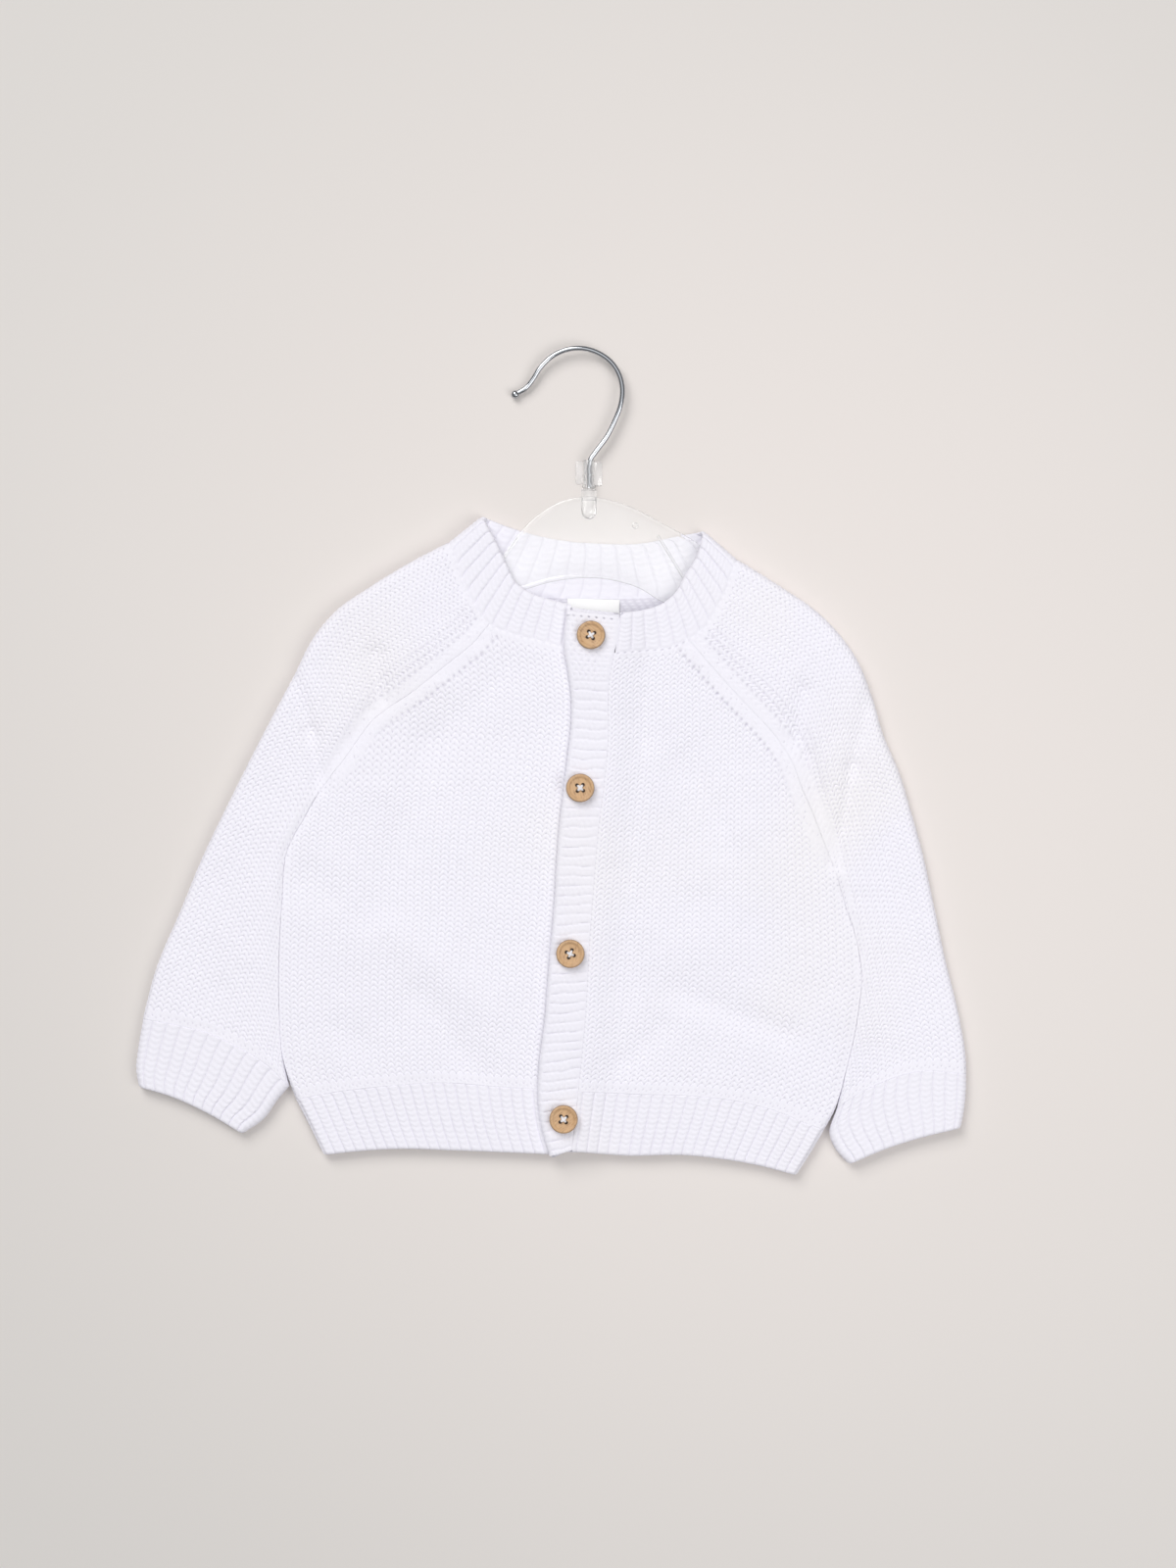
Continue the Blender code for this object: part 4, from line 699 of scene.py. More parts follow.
for hand in ("right", "left"):
    centre = tuck_line if hand == "right" else band_line
    at = RAGLAN_AT[hand]
    hem_line = curve(HEM_TOP[hand])
    middle = stretch(centre, level_at(centre, hem_line(1.0)[1]), level_at(centre, neck_front[hand](0.0)[1]))
    raglan = curve(RAGLAN[hand] + [tuple(neck_front[hand](at))])
    share = level_at(middle, UNDERARM[hand][1])
    edge = joined(side[hand], raglan, share)
    plan = patch(hem_line, stretch(neck_front[hand], at, 0.0), edge, middle)

    def top(u, v, x, y, lapped=hand == "left", share=share):
        lift = lap_lift(x, y) if lapped else 0.0
        uneven = 0.22 * wander(x, y, 17.0, 3) + 0.12 * wander(x, y, 7.0, 4)
        uneven = uneven * ease(u / 0.06) * ease((1 - u) / 0.06)
        return front_top(u, x, y) + lift + uneven - side_dip(v, share) * np.exp(-(u / DIP_REACH) ** 2)

    radius = edge_radius(edge, share)
    layer = Layer(plan, top, first=EDGE_ROUND, last=radius, gaps=(2 * GAP, GAP), from_right=True,
                  flat=(1.0, side_flat(share_v, share)))
    outer_wale = read(OUTER_WALE[hand], edge(share_v)[:, 1])
    reach = np.abs(outer_wale - middle(share_v)[:, 0]) + (math.pi / 2 - 1) * SIDE_HALF
    virtual = np.maximum(reach, layer.full)
    rows = courses_of(FRONT_COURSES)
    wales = np.arange(0, FRONT_WALES * ACROSS + 1) / ACROSS
    pitch = np.interp(np.clip(rows / FRONT_COURSES, 0, 1), share_v, virtual)[:, None] / FRONT_WALES
    a, v, s, t = woven_grid(layer, wales, rows, FRONT_COURSES, pitch)
    outer, inner, out, (near, far, low_end, high_end) = layer.points(a, v)
    relief = legs(s, t, seed=2)
    # Painted shade in the holes between the legs.
    pits = depth_of(relief)
    relief, pits = fashioned(relief, pits, outer, raglan, (1.0,), 1.4)
    relief, pits = linked(relief, pits, high_end, near, 1.0 if hand == "left" else 0.3)
    far = from_seam(far, v, share)
    border = ease(np.minimum(np.minimum(2.0 * near, far), np.minimum(3.0 * low_end, high_end)) / BORDER)
    relief = PLAIN + (relief - PLAIN) * border
    outer = outer + out * ((relief - 0.5) * LOFT)[..., None]
    piece = cloth(hand + "_front", outer, inner, np.dstack((s, t)), pits, 1.0, step=(4, 6))
    dress(piece, WHITE_KNIT, "knit", *FRONT_CUT[hand], ["back_panel"], "front_" + hand)

# ------------------------------------------------------------------ sleeves
# Raglan sleeves in the same stockinette, each one piece: the front half, the fold along the arm's
# outside and the back half, which lies on the surface. Their wales run along the arm.

# Corners where sleeve and cuff meet, beside the body and at the outer fold.
WRIST_IN = {"right": (-120.2, -149.4), "left": (130.6, -159.5)}
WRIST_OUT = {"right": (-187.2, -118.6), "left": (189.9, -143.8)}
SLEEVE_APART = {"right": -0.05, "left": 0.05}     # how far a sleeve's inner edge lies beside the body
SLEEVE_OUTER = {"right": [WRIST_OUT["right"], (-181.4, -96.5), (-170.1, -69.5), (-158.9, -42.5),
                          (-147.6, -19.1), (-136.8, 2.5), (-127.4, 20.5), (-117.9, 38.5),
                          (-108.5, 56.5), (-97.0, 69.6), (-86.4, 76.9), (-64.8, 90.2), SHOULDER["right"]],
                "left": [WRIST_OUT["left"], (189.2, -132.5), (186.6, -118.0), (179.8, -89.8),
                         (174.6, -65.0), (169.7, -42.5), (164.7, -24.5), (159.3, -6.5), (151.7, 11.5),
                         (146.7, 28.6), (138.2, 48.2), (123.3, 66.0), (104.8, 79.2), SHOULDER["left"]]}
CUFF_TOP = {"right": [WRIST_IN["right"], (-130.5, -139.5), (-143.5, -131.5), (-156.6, -125.3),
                      (-171.0, -121.5), WRIST_OUT["right"]],
            "left": [WRIST_IN["left"], (136.8, -154.9), (148.0, -148.9), (169.6, -142.4), WRIST_OUT["left"]]}
SLEEVE_UNDERARM = {"right": 0.47, "left": 0.43}   # how far up the sleeve the underarm is
# Height of a sleeve's top by how far up it is, and the share of its width over which it is reached.
SLEEVE_TOP = [(0.0, 5.8), (0.3, 6.2), (0.5, 6.6), (0.7, 8.0), (0.78, 8.4), (1.0, 8.4)]
SLEEVE_EASE = 0.4
SLEEVE_COURSES = 105
FOLD_WALES = 2            # wales worked in shape on the lower layer, beside the fold
SLEEVE_CUT = {"right": ((0.158, 0.252), 0.0244), "left": ((0.134, 0.247), 0.0242)}


def sleeve_top(u, v, x, y):
    """The top of a sleeve: u is 0 at the raglan and 1 at the outer fold, v is 0 at the cuff."""
    body = resting(read(SLEEVE_TOP, v) + folds(x, y))
    uneven = 0.2 * wander(x, y, 15.0, 5) + 0.12 * wander(x, y, 7.0, 6)
    uneven = uneven * ease(u / 0.12) * ease((1 - u) / 0.15) * ease(v / 0.02)
    return side_top(x, y) + ease(u / SLEEVE_EASE) * (body - side_top(x, y)) + uneven


def tube(upper, lower, wales, near_wales, far_share, rows, count, pitch, slant=SLANT):
    """A flattened tube: the upper layer's grid from its inner edge to the outer fold, then the
    lower layer's from the fold back, on the same rows. The lower layer's last columns are a few
    even shares of its width. It also gives how many columns the upper layer has."""
    a, v, s, t = woven_grid(upper, wales, rows, count, pitch, slant)
    over = upper.points(a, v)
    low_v = t[:, :1] / count
    full = lower.at(low_v, lower.full)
    pitch = np.broadcast_to(pitch, full.shape)
    start = near_wales[-1] * pitch
    low_a = np.concatenate((near_wales * pitch, start + (full - start) * far_share), axis=1)
    low_a = np.minimum(low_a, full)
    under = lower.points(low_a, np.broadcast_to(low_v, low_a.shape))

    def both(first, second):
        return np.concatenate((np.flip(first, axis=1), second), axis=1)

    grids = [both(first, second) for first, second in zip(over[:3], under[:3])]
    edges = [both(first, second) for first, second in zip(over[3], under[3])]
    s, t = both(s, -low_a / pitch), both(t, np.broadcast_to(t[:, :1], low_a.shape))
    return grids, s, t, edges, over[0].shape[1]


fold_wales = np.arange(1, FOLD_WALES * ACROSS + 1) / ACROSS
far_share = np.linspace(0, 1, 11)[1:]
for hand in ("right", "left"):
    at, back_at, share = RAGLAN_AT[hand], BACK_RAGLAN_AT[hand], SLEEVE_UNDERARM[hand]
    inner_rows = [(x + SLEEVE_APART[hand], y) for x, y in SIDE[hand][2:-1]]
    inner_line = curve([WRIST_IN[hand]] + inner_rows + [UNDERARM[hand]])
    outer_line = curve(SLEEVE_OUTER[hand])
    cuff_line = curve(CUFF_TOP[hand])
    raglan = curve(RAGLAN[hand] + [tuple(neck_front[hand](at))])
    back_raglan = curve(RAGLAN_BACK[hand] + [tuple(neck_back(back_at))])
    front_edge, back_side = joined(inner_line, raglan, share), joined(inner_line, back_raglan, share)
    upper = patch(cuff_line, stretch(neck_front[hand], at, 1.0), front_edge, outer_line)
    lower = patch(cuff_line, stretch(neck_back, back_at, float(hand == "left")), back_side, outer_line)
    fold_at = outer_line(share_v)
    fold = sleeve_top(1.0, share_v, fold_at[:, 0], fold_at[:, 1]) / 2

    def top(u, v, x, y, share=share):
        return sleeve_top(u, v, x, y) - side_dip(v, share) * np.exp(-(u / (2 * DIP_REACH)) ** 2)

    inner_round = edge_radius(front_edge, share)
    layers = [Layer(plan, over, first=fold, last=inner_round, gaps=(0.0, GAP), from_right=True,
                    flat=(1.0, side_flat(share_v, share))) for plan, over in ((upper, top), (lower, None))]
    widest = layers[0].full.max() / WALE
    wales = np.arange(0, math.ceil(widest) * ACROSS + 1) / ACROSS
    grids, s, t, edges, count_up = tube(*layers, wales, fold_wales, far_share,
                                        courses_of(SLEEVE_COURSES), SLEEVE_COURSES, WALE)
    (outer, inner, out), (from_fold, inner_end, low_end, high_end) = grids, edges
    relief = legs(s, t, seed=5)
    worked = (s > -FOLD_WALES).astype(float)
    # Painted shade in the holes between the legs, only where the stitches are worked in shape.
    pits = depth_of(relief) * worked
    edge_relief, edge_pits = fashioned(relief, pits, outer, raglan, (0.75, 0.6, 0.4), 0.9)
    above = np.arange(s.shape[1])[None, :] < count_up
    relief, pits = np.where(above, edge_relief, relief), np.where(above, edge_pits, pits)
    edge_relief, edge_pits = linked(relief, pits, high_end, from_fold, 0.3)
    relief, pits = np.where(above, edge_relief, relief), np.where(above, edge_pits, pits)
    inner_end = from_seam(inner_end, t / SLEEVE_COURSES, share)
    border = ease(np.minimum(inner_end, np.minimum(3.0 * low_end, high_end)) / BORDER)
    relief = ((relief - PLAIN) * border + PLAIN - 0.5) * ease((s + FOLD_WALES) / FOLD_WALES)
    outer = outer + out * (relief * LOFT)[..., None]
    outer[..., 2] = np.maximum(outer[..., 2], 0.0)      # pressed flat where it rests
    piece = cloth(hand + "_sleeve", outer, inner, np.dstack((s, t)), pits, worked, step=(4, 4))
    dress(piece, WHITE_KNIT, "knit", *SLEEVE_CUT[hand], ["floor"], "sleeve_" + hand)

# ------------------------------------------------------------------ hem ribs
# The hem is a 1x1 rib welt in the same yarn, knitted on from the cast-on edge before the fronts
# and the back, which grow out of it. Each raised wale is one knit stitch wide.

# The hem's lower corner at each side.
HEM_CORNER = {"right": (-104.3, -180.9), "left": (112.0, -190.2)}
HEM_EDGE = {"right": [HEM_CORNER["right"], (-92.6, -179.5), (-75.7, -178.2), (-42.1, -178.9), (-2.2, -180.6)],
            "left": [HEM_CORNER["left"], (95.0, -185.8), (79.1, -183.0), (62.0, -181.2), (32.9, -181.4),
                     (9.2, -179.4)]}
HEM_EDGE_BACK = [HEM_CORNER["right"], (-75.7, -177.8), (-20.0, -179.0), (32.9, -180.6), (62.0, -180.8),
                 (95.0, -185.6), HEM_CORNER["left"]]
HEM_SIDE = {"right": [HEM_CORNER["right"], (-112.0, -165.2), SIDE_FOOT["right"]],
            "left": [HEM_CORNER["left"], (119.9, -177.8), SIDE_FOOT["left"]]}
HEM_RIBS, BACK_RIBS = 21, 48
HEM_SPAN = {"right": (0.02, 0.965), "left": (0.02, 0.98)}    # where the ribs start and end in its width
HEM_COURSES = 12
HEM_CUT = {"right": ((0.115, 0.031), 0.0034), "left": ((0.117, 0.028), 0.0031)}
RIB_POINTS = np.array((0.0, 0.09, 0.2, 0.35, 0.5, 0.65, 0.8, 0.91))   # points across a rib
RIB_SLANT = 0.5           # how far the legs of a rib's stitches rise, in courses
RIB_LOFT = 0.75           # height of a rib over its grooves
RIB_MIDDLE = 0.42         # height of the solid's face over the grooves
# Painted shade in the rib grooves:
GROOVE_SHADE = 0.6              # how dark the grooves are drawn


def rounded(outer, inner, out, distance, radius=WALL / 2, share=0.5):
    """A free edge turned round: both faces come together by 2r - 2 sqrt(r^2 - (r - distance)^2),
    the outer one by that share of it."""
    short = np.clip(radius - distance, 0.0, radius)
    close = 2 * (radius - np.sqrt(np.maximum(radius ** 2 - short ** 2, 0.0)))[..., None]
    return outer - out * close * share, inner + out * close * (1 - share)


def rib_wales(count, before=0.0, after=0.0):
    """Wale positions of so many ribs, with the same points in each."""
    whole = (np.arange(-math.ceil(before), math.ceil(count + after))[:, None] + RIB_POINTS).ravel()
    whole = np.append(whole, whole[-1] + 1 - RIB_POINTS[-1])
    return whole[(whole >= -before - 1e-9) & (whole <= count + after + 1e-9)]


def rib(s, t, seed=11):
    """1x1 rib, near 0 in the grooves and 1 on a rib: across it (1 - q^4)^0.8, where q goes from 0 at
    its middle to 1 at a groove, with the two legs of each stitch as a relief on it."""
    q = np.abs((s % 1) - 0.5) * 2
    phase = t - RIB_SLANT * q
    table = np.random.default_rng(seed).uniform(0.9, 1.0, (97, 89))
    leg = np.maximum(1 - (2 * (phase % 1) - 1) ** 2, 0.0) ** 0.6
    leg = leg * table[np.floor(s * 2).astype(int) % 97, np.floor(phase).astype(int) % 89]
    crest = 0.12 + 0.88 * np.maximum(1 - q ** 4, 0.0) ** 0.8
    split = 0.16 * np.exp(-(q / 0.18) ** 2)
    return crest * (0.56 + 0.44 * leg - split)


def ribbed(layer, ribs, courses, start=0.0, span=1.0, before=0.0, after=0.0):
    """A layer's points, and the places s in ribs and t in courses. The ribs start at one share of
    the width and take up another, and so many more stand before and after them."""
    rows = courses_of(courses)
    full = layer.at(rows / courses, layer.full)[:, None]
    a, v, s, t = woven_grid(layer, rib_wales(ribs, before, after), rows, courses, full * span / ribs,
                            RIB_SLANT, start=start * full)
    return layer.points(a, v), s, t


WHITE_RIB = cotton("white_rib", (0.915, 0.90, 0.97, 1), (0.915, 0.895, 0.93, 1), PAINTED_SHADE_TONE, 0.4)
for hand in ("right", "left"):
    centre = tuck_line if hand == "right" else band_line
    hem_line, hem_edge, hem_side = curve(HEM_TOP[hand]), curve(HEM_EDGE[hand]), curve(HEM_SIDE[hand])
    hem_centre = stretch(centre, level_at(centre, HEM_EDGE[hand][-1][1]), level_at(centre, hem_line(1.0)[1]))

    def top(u, v, x, y, lapped=hand == "left"):
        return front_top(u, x, y) + (lap_lift(x, y) if lapped else 0.0)

    radius = side_top(*hem_side(share_v).T) / 2 - GAP
    layer = Layer(patch(hem_edge, hem_line, hem_side, hem_centre), top, last=radius, gaps=(2 * GAP, GAP),
                  from_right=True)
    start, end = HEM_SPAN[hand]
    made, s, t = ribbed(layer, HEM_RIBS, HEM_COURSES, 1 - end, end - start, before=1.2, after=1.2)
    outer, inner, out, (near, far, low_end, high_end) = made
    relief = rib(s, t)
    seam = ease(np.minimum(np.minimum(2.0 * near, far), 3.0 * high_end) / BORDER)
    outer = outer + out * ((0.5 + (relief - 0.5) * seam) * RIB_LOFT - RIB_MIDDLE)[..., None]
    outer, inner = rounded(outer, inner, out, low_end)
    # Painted shade in the rib grooves.
    pits = GROOVE_SHADE * depth_of(relief) * seam
    piece = cloth(hand + "_hem_rib", outer, inner, np.dstack((s, t)), pits, 1.0, step=(4, 4))
    dress(piece, WHITE_RIB, "rib", *HEM_CUT[hand], ["back_hem_rib"], "hem_front_" + hand)

edges = curve(HEM_SIDE["right"]), curve(HEM_SIDE["left"])
rounds = [side_top(*line(share_v).T) / 2 - GAP for line in edges]
layer = Layer(patch(curve(HEM_EDGE_BACK), curve(HEM_TOP_BACK), *edges), None, first=rounds[0], last=rounds[1])
(outer, inner, out, (near, far, low_end, high_end)), s, t = ribbed(layer, BACK_RIBS, HEM_COURSES)
# The ribs are pressed flat where it rests, and stand up only on the edges turned up from there.
rolled = 1 - ease((np.minimum(near, far) - 4.0) / 2.0)
relief = rib(s, t)
raised = relief * RIB_LOFT - RIB_MIDDLE
outer = outer + out * (np.minimum(raised, 0.0) * (1 - rolled)
                       + raised * rolled * ease(near / 2) * ease(far / 2))[..., None]
outer[..., 2] = np.maximum(outer[..., 2], 0.0)
outer, inner = rounded(outer, inner, out, low_end)
# The back hem's rib grooves get painted shade.
piece = cloth("back_hem_rib", outer, inner, np.dstack((s, t)), GROOVE_SHADE * depth_of(relief), 1.0, step=(4, 4))
dress(piece, WHITE_RIB, "rib", (0.248, 0.028), 0.0066, ["floor"], "hem_back")

# ------------------------------------------------------------------ cuffs
# The cuffs are 1x1 rib tubes that the sleeves grow out of. They draw the sleeves in, so their ribs
# fan out a little from the cast-on edge.

# Corners of the cuff's cast-on edge, beside the body and at the outer fold.
CUFF_IN = {"right": (-141.6, -171.2), "left": (136.4, -185.2)}
CUFF_OUT = {"right": (-189.0, -149.8), "left": (187.3, -168.6)}
CUFF_EDGE = {"right": [CUFF_IN["right"], (-157.1, -162.0), (-174.6, -154.0), CUFF_OUT["right"]],
             "left": [CUFF_IN["left"], (151.7, -178.6), (169.7, -172.8), CUFF_OUT["left"]]}
CUFF_INNER = {"right": [CUFF_IN["right"], (-131.9, -164.4), (-125.4, -155.5), WRIST_IN["right"]],
              "left": [CUFF_IN["left"], (130.6, -179.0), (127.4, -172.0), WRIST_IN["left"]]}
CUFF_OUTER = {"right": [CUFF_OUT["right"], (-190.3, -141.5), (-189.5, -132.5), WRIST_OUT["right"]],
              "left": [CUFF_OUT["left"], (189.0, -159.5), (189.7, -152.5), WRIST_OUT["left"]]}
CUFF_RIBS, CUFF_COURSES, CUFF_HEIGHT = 12, 12, 5.8
CUFF_FOLD_RIBS = 3        # ribs worked in shape on the lower layer, beside the fold
CUFF_CUT = {"right": ((0.158, 0.033), 0.0045), "left": ((0.138, 0.030), 0.0039)}


def cuff_top(u, v, x, y):
    """The top of a cuff: level, with a slight swell between its edges."""
    return CUFF_HEIGHT + 0.35 * np.sin(math.pi * np.clip(u, 0, 1)) + 0.15 * wander(x, y, 11.0, 8)


for hand in ("right", "left"):
    plan = patch(*(curve(table[hand]) for table in (CUFF_EDGE, CUFF_TOP, CUFF_INNER, CUFF_OUTER)))
    layers = [Layer(plan, top, first=CUFF_HEIGHT / 2, last=CUFF_HEIGHT / 2 - GAP, gaps=(0.0, GAP),
                    from_right=True) for top in (cuff_top, None)]
    rows = courses_of(CUFF_COURSES)
    pitch = layers[0].at(rows / CUFF_COURSES, layers[0].full)[:, None] / CUFF_RIBS
    grids, s, t, edges, _ = tube(*layers, rib_wales(CUFF_RIBS), rib_wales(CUFF_FOLD_RIBS)[1:],
                                 np.linspace(0, 1, 19)[1:], rows, CUFF_COURSES, pitch, RIB_SLANT)
    (outer, inner, out), (_, inner_end, low_end, high_end) = grids, edges
    relief = rib(s, t)
    seam = ease(np.minimum(inner_end, 3.0 * high_end) / BORDER)
    shown = ease((s + CUFF_FOLD_RIBS) / 2.0)
    relief = 0.5 + (relief - 0.5) * seam * shown
    outer = outer + out * ((relief * RIB_LOFT - RIB_MIDDLE) * shown)[..., None]
    outer[..., 2] = np.maximum(outer[..., 2], 0.0)
    outer, inner = rounded(outer, inner, out, low_end)
    # Painted shade in the rib grooves, only where the ribs are shown.
    pits = GROOVE_SHADE * depth_of(relief) * shown
    piece = cloth(hand + "_cuff_rib", outer, inner, np.dstack((s, t)), pits, shown, step=(4, 4))
    dress(piece, WHITE_RIB, "rib", *CUFF_CUT[hand], ["floor"], "cuff_" + hand)

# ------------------------------------------------------------------ neckband
# One 1x1 rib strip, linked to the neck edge stitch by stitch. It runs from the front edge over the
# right shoulder, across the back, where its inside shows, and over the left shoulder to the lap.

# Where the neckband's outer edge turns back, at the fold over each shoulder.
NECK_TIP = {"right": (-31.8, 111.6), "left": (69.6, 104.8)}
NECK_EDGE = {"right": [(9.2, 70.9), (-0.9, 73.6), (-9.0, 76.3), (-15.8, 80.8), (-21.2, 91.1),
                       (-26.5, 102.0), NECK_TIP["right"]],
             "left": [(31.3, 67.3), (41.9, 68.6), (50.9, 71.8), (56.7, 76.7), (61.2, 84.8),
                      (65.9, 92.4), NECK_TIP["left"]],
             "back": [NECK_TIP["right"], (-17.1, 106.0), (5.4, 100.6), (22.0, 99.2), (39.2, 99.2),
                      (57.2, 102.6), NECK_TIP["left"]]}
NECK_TOP = 8.4
NECK_RIBS = {"right": 12, "back": 17, "left": 12}
NECK_RIB_START = {"right": 0.032, "back": 0.0, "left": 0.01}      # where the ribs start in each part's length
NECK_COURSES = 9


def straight(start, end):
    """The straight line between two points."""
    return lambda t: start + (end - start) * np.asarray(t, float)[..., None]


def neck_top(u, v, x, y):
    """The neckband's top, level over the hanger."""
    return np.full(np.shape(x), NECK_TOP)


def lapped_neck_top(u, v, x, y):
    """The same, raised at the lap."""
    return NECK_TOP + lap_lift(x, y)


edge = {name: curve(table) for name, table in NECK_EDGE.items()}
fold_right = straight(neck_front["right"](1.0), edge["right"](1.0))
fold_left = straight(neck_front["left"](1.0), edge["left"](1.0))
fold = NECK_TOP / 2
begin = {hand: straight(neck_front[hand](0.0), edge[hand](0.0)) for hand in ("right", "left")}
parts = {
    "right": Layer(patch(neck_front["right"], edge["right"], begin["right"], fold_right), neck_top,
                   last=fold, gaps=(GAP, 0.0)),
    "back": Layer(patch(neck_back, edge["back"], fold_right, fold_left), None,
                  first=fold, last=fold, gaps=(0.0, 0.0)),
    "left": Layer(patch(neck_front["left"], edge["left"], begin["left"], fold_left), lapped_neck_top,
                  last=fold, gaps=(GAP, 0.0)),
}
columns = []
for name, layer in parts.items():
    start = NECK_RIB_START[name]
    made, s, t = ribbed(layer, NECK_RIBS[name], NECK_COURSES, start, 1 - start,
                        before=0.0 if name == "back" else 0.45)
    outer, inner, out, (near, _, low_end, high_end) = made
    relief = rib(s, t)
    seam = ease(low_end / BORDER) * (1.0 if name == "back" else ease(near / BORDER))
    lift = ((0.5 + (relief - 0.5) * seam) * RIB_LOFT - RIB_MIDDLE)[..., None]
    if name == "back":
        outer, inner = rounded(outer, inner - out * lift, out, high_end)
    else:
        outer, inner = rounded(outer + out * lift, inner, out, high_end / 2.2, share=0.9)
    # Painted shade in the rib grooves, on the top of the front parts and on the inside of the back part.
    pits = GROOVE_SHADE * depth_of(relief) * seam
    stack = np.dstack((outer, inner, s, t, pits * (name != "back"), pits * (name == "back")))
    columns.append(stack[:, ::-1] if name == "left" else stack)
stack = np.concatenate((columns[0], columns[1][:, 1:], columns[2][:, 1:]), axis=1)
piece = cloth("neck_rib", stack[..., :3], stack[..., 3:6], stack[..., 6:8], stack[..., 8], 1.0,
              inside=stack[..., 9])
dress(piece, WHITE_RIB, "rib", (0.315, 0.024), 0.0064, ["back_panel"], "neckband")

# ------------------------------------------------------------------ front bands
# The buttonhole band is knitted sideways in 1x1 rib and linked to the left front, so its ribs lie
# across it; its top end is plain. The button band under it carries the buttons.
BAND_RIDGES = 48
RIDGE_SPAN = (0.012, 0.8745)      # where the ridges start and end in its length
BAND_COURSES = 7
BAND_SHORT = 1.3          # how far below the neck edge the buttonhole band ends
BAND_LENGTH = 250.0       # length of the button band, in which its stitches are counted
COURSE = 2.4              # height of a stitch
SEAM_RELIEF = 0.42        # relief of the band at its seam with the left front
UNDER_INSET = 1.5         # how far the button band's edge lies inside the buttonhole band's
UNDER_GAP = 0.15          # and the gap on both its sides
SELVEDGE = 1.2            # width of the chain along the buttonhole band's free edge

across_hem, across_neck = straight(lap_line(0.0), band_line(0.0)), straight(lap_line(1.0), band_line(1.0))
upper_band = patch(across_hem, across_neck, lap_line, band_line)


def band_top(u, v, x, y):
    """The top of the buttonhole band, one thickness above the right front."""
    return centre_top(x, y) + LAP_STEP + 0.15 * wander(x, y, 13.0, 12) * ease(v / 0.15)


layer = Layer(lambda u, v: upper_band(1 - v, u), band_top, gaps=(0.0, BAND_SHORT), ends=(GAP, 0.0))
start, end = RIDGE_SPAN
made, s, t = ribbed(layer, BAND_RIDGES, BAND_COURSES, start, end - start, before=0.6, after=9.0)
outer, inner, out, (near, far, low_end, high_end) = made
plain = ease((s - BAND_RIDGES + 0.5) / 1.0)
wavy = s + 0.14 * wander(outer[..., 0], outer[..., 1], 5.0, 17)
relief = rib(wavy, t) * (1 - plain) + (0.1 + 0.9 * legs(s, t, seed=14, slant=RIB_SLANT)) * plain
selvedge = ease((high_end - SELVEDGE) / 0.7)
relief = relief * selvedge + (0.35 + 0.45 * np.abs(np.sin(math.pi * near / COURSE))) * (1 - selvedge)
seam = ease((low_end - 0.1) / 0.6)
relief = relief * seam + SEAM_RELIEF * (1 - seam)
outer = outer + out * (relief * RIB_LOFT - RIB_MIDDLE)[..., None]
# Its free edge and its top end are rounded over a wider strip than its foot.
free = np.minimum(high_end / 2.4, np.minimum(near, far / 1.4))
outer, inner = rounded(outer, inner, out, free, share=0.9)
# The band gets painted shade in its grooves and holes.
piece = cloth("buttonhole_rib", outer, inner, np.dstack((s, t)), 0.8 * depth_of(relief), 1.0, step=(4, 4))
dress(piece, WHITE_RIB, "rib", (0.0185, 0.250), 0.0046, ["right_front"], "buttonhole_band")

under_left, under_right = tuck_line, lambda t: band_line(t) - np.array((UNDER_INSET, 0.0))
ends = [straight(under_left(t), under_right(t)) for t in (0.0, 1.0)]
layer = Layer(patch(*ends, under_left, under_right), lambda u, v, x, y: centre_top(x, y),
              gaps=(UNDER_GAP, UNDER_GAP), ends=(0.0, 0.0))
v = np.unique(np.concatenate((np.linspace(0, 1, 120), (0.001, 0.003, 0.997, 0.999))))[:, None]
share = np.array((0.0, 0.02, 0.06, 0.2, 0.4, 0.6, 0.8, 0.94, 0.98, 1.0))[None, :]
a = share * layer.at(v, layer.full)
outer, inner, out, edges = layer.points(a, np.broadcast_to(v, a.shape))
outer, inner = rounded(outer, inner, out, np.minimum.reduce(np.broadcast_arrays(*edges)))
stitches = np.dstack((a / WALE, np.broadcast_to(v, a.shape) * BAND_LENGTH / COURSE))
piece = cloth("button_rib", outer, inner, stitches, 0.0, 0.0)
dress(piece, WHITE_RIB, "rib", (0.015, 0.250), 0.0036, ["back_panel"], "button_band")

# ------------------------------------------------------------------ buttons
# Four-hole buttons turned from coconut shell, with a raised rim and a varnish, darker round the
# outer edge and with painted shade in the holes. Each is sewn to the button band with white
# thread, crossed over the middle and knotted.
BUTTONS = [(18.0, 56.9, -14.0), (13.1, -12.8, 4.0), (8.6, -88.4, 22.0), (5.5, -163.9, -6.0)]   # x, y, turn
HOLE_RADIUS, HOLE_CIRCLE = 0.85, 1.9
# The turned section: distance from the axis and height.
BUTTON_SECTION = [(0.0, 1.75), (3.9, 1.75), (4.5, 1.9), (4.95, 2.3), (5.3, 2.5), (5.75, 2.58), (6.15, 2.35),
                  (6.4, 1.9), (6.5, 1.4), (6.45, 0.8), (6.1, 0.3), (5.3, 0.0), (0.0, 0.0)]
HOLE_FLOOR = 0.35         # the holes are blind, and end above the button's underside
THREAD_RADIUS, THREAD_SPREAD = 0.25, 0.3    # of each strand, and from one strand to the next
THREAD_LIFT, THREAD_DROP = 1.8, 1.3         # height of a strand at its holes, and its drop into them
KNOT_RADIUS, KNOT_LIFT = 0.3, 2.55


def skin(grid):
    """The points of stacked rings, with the faces between them and over both ends."""
    number = np.arange(grid.shape[0] * grid.shape[1]).reshape(grid.shape[:2])
    after = np.roll(number, -1, axis=1)
    faces = np.stack((number[:-1], after[:-1], after[1:], number[1:]), axis=-1).reshape(-1, 4).tolist()
    return grid.reshape(-1, 3), faces + [number[0, ::-1].tolist(), number[-1].tolist()]


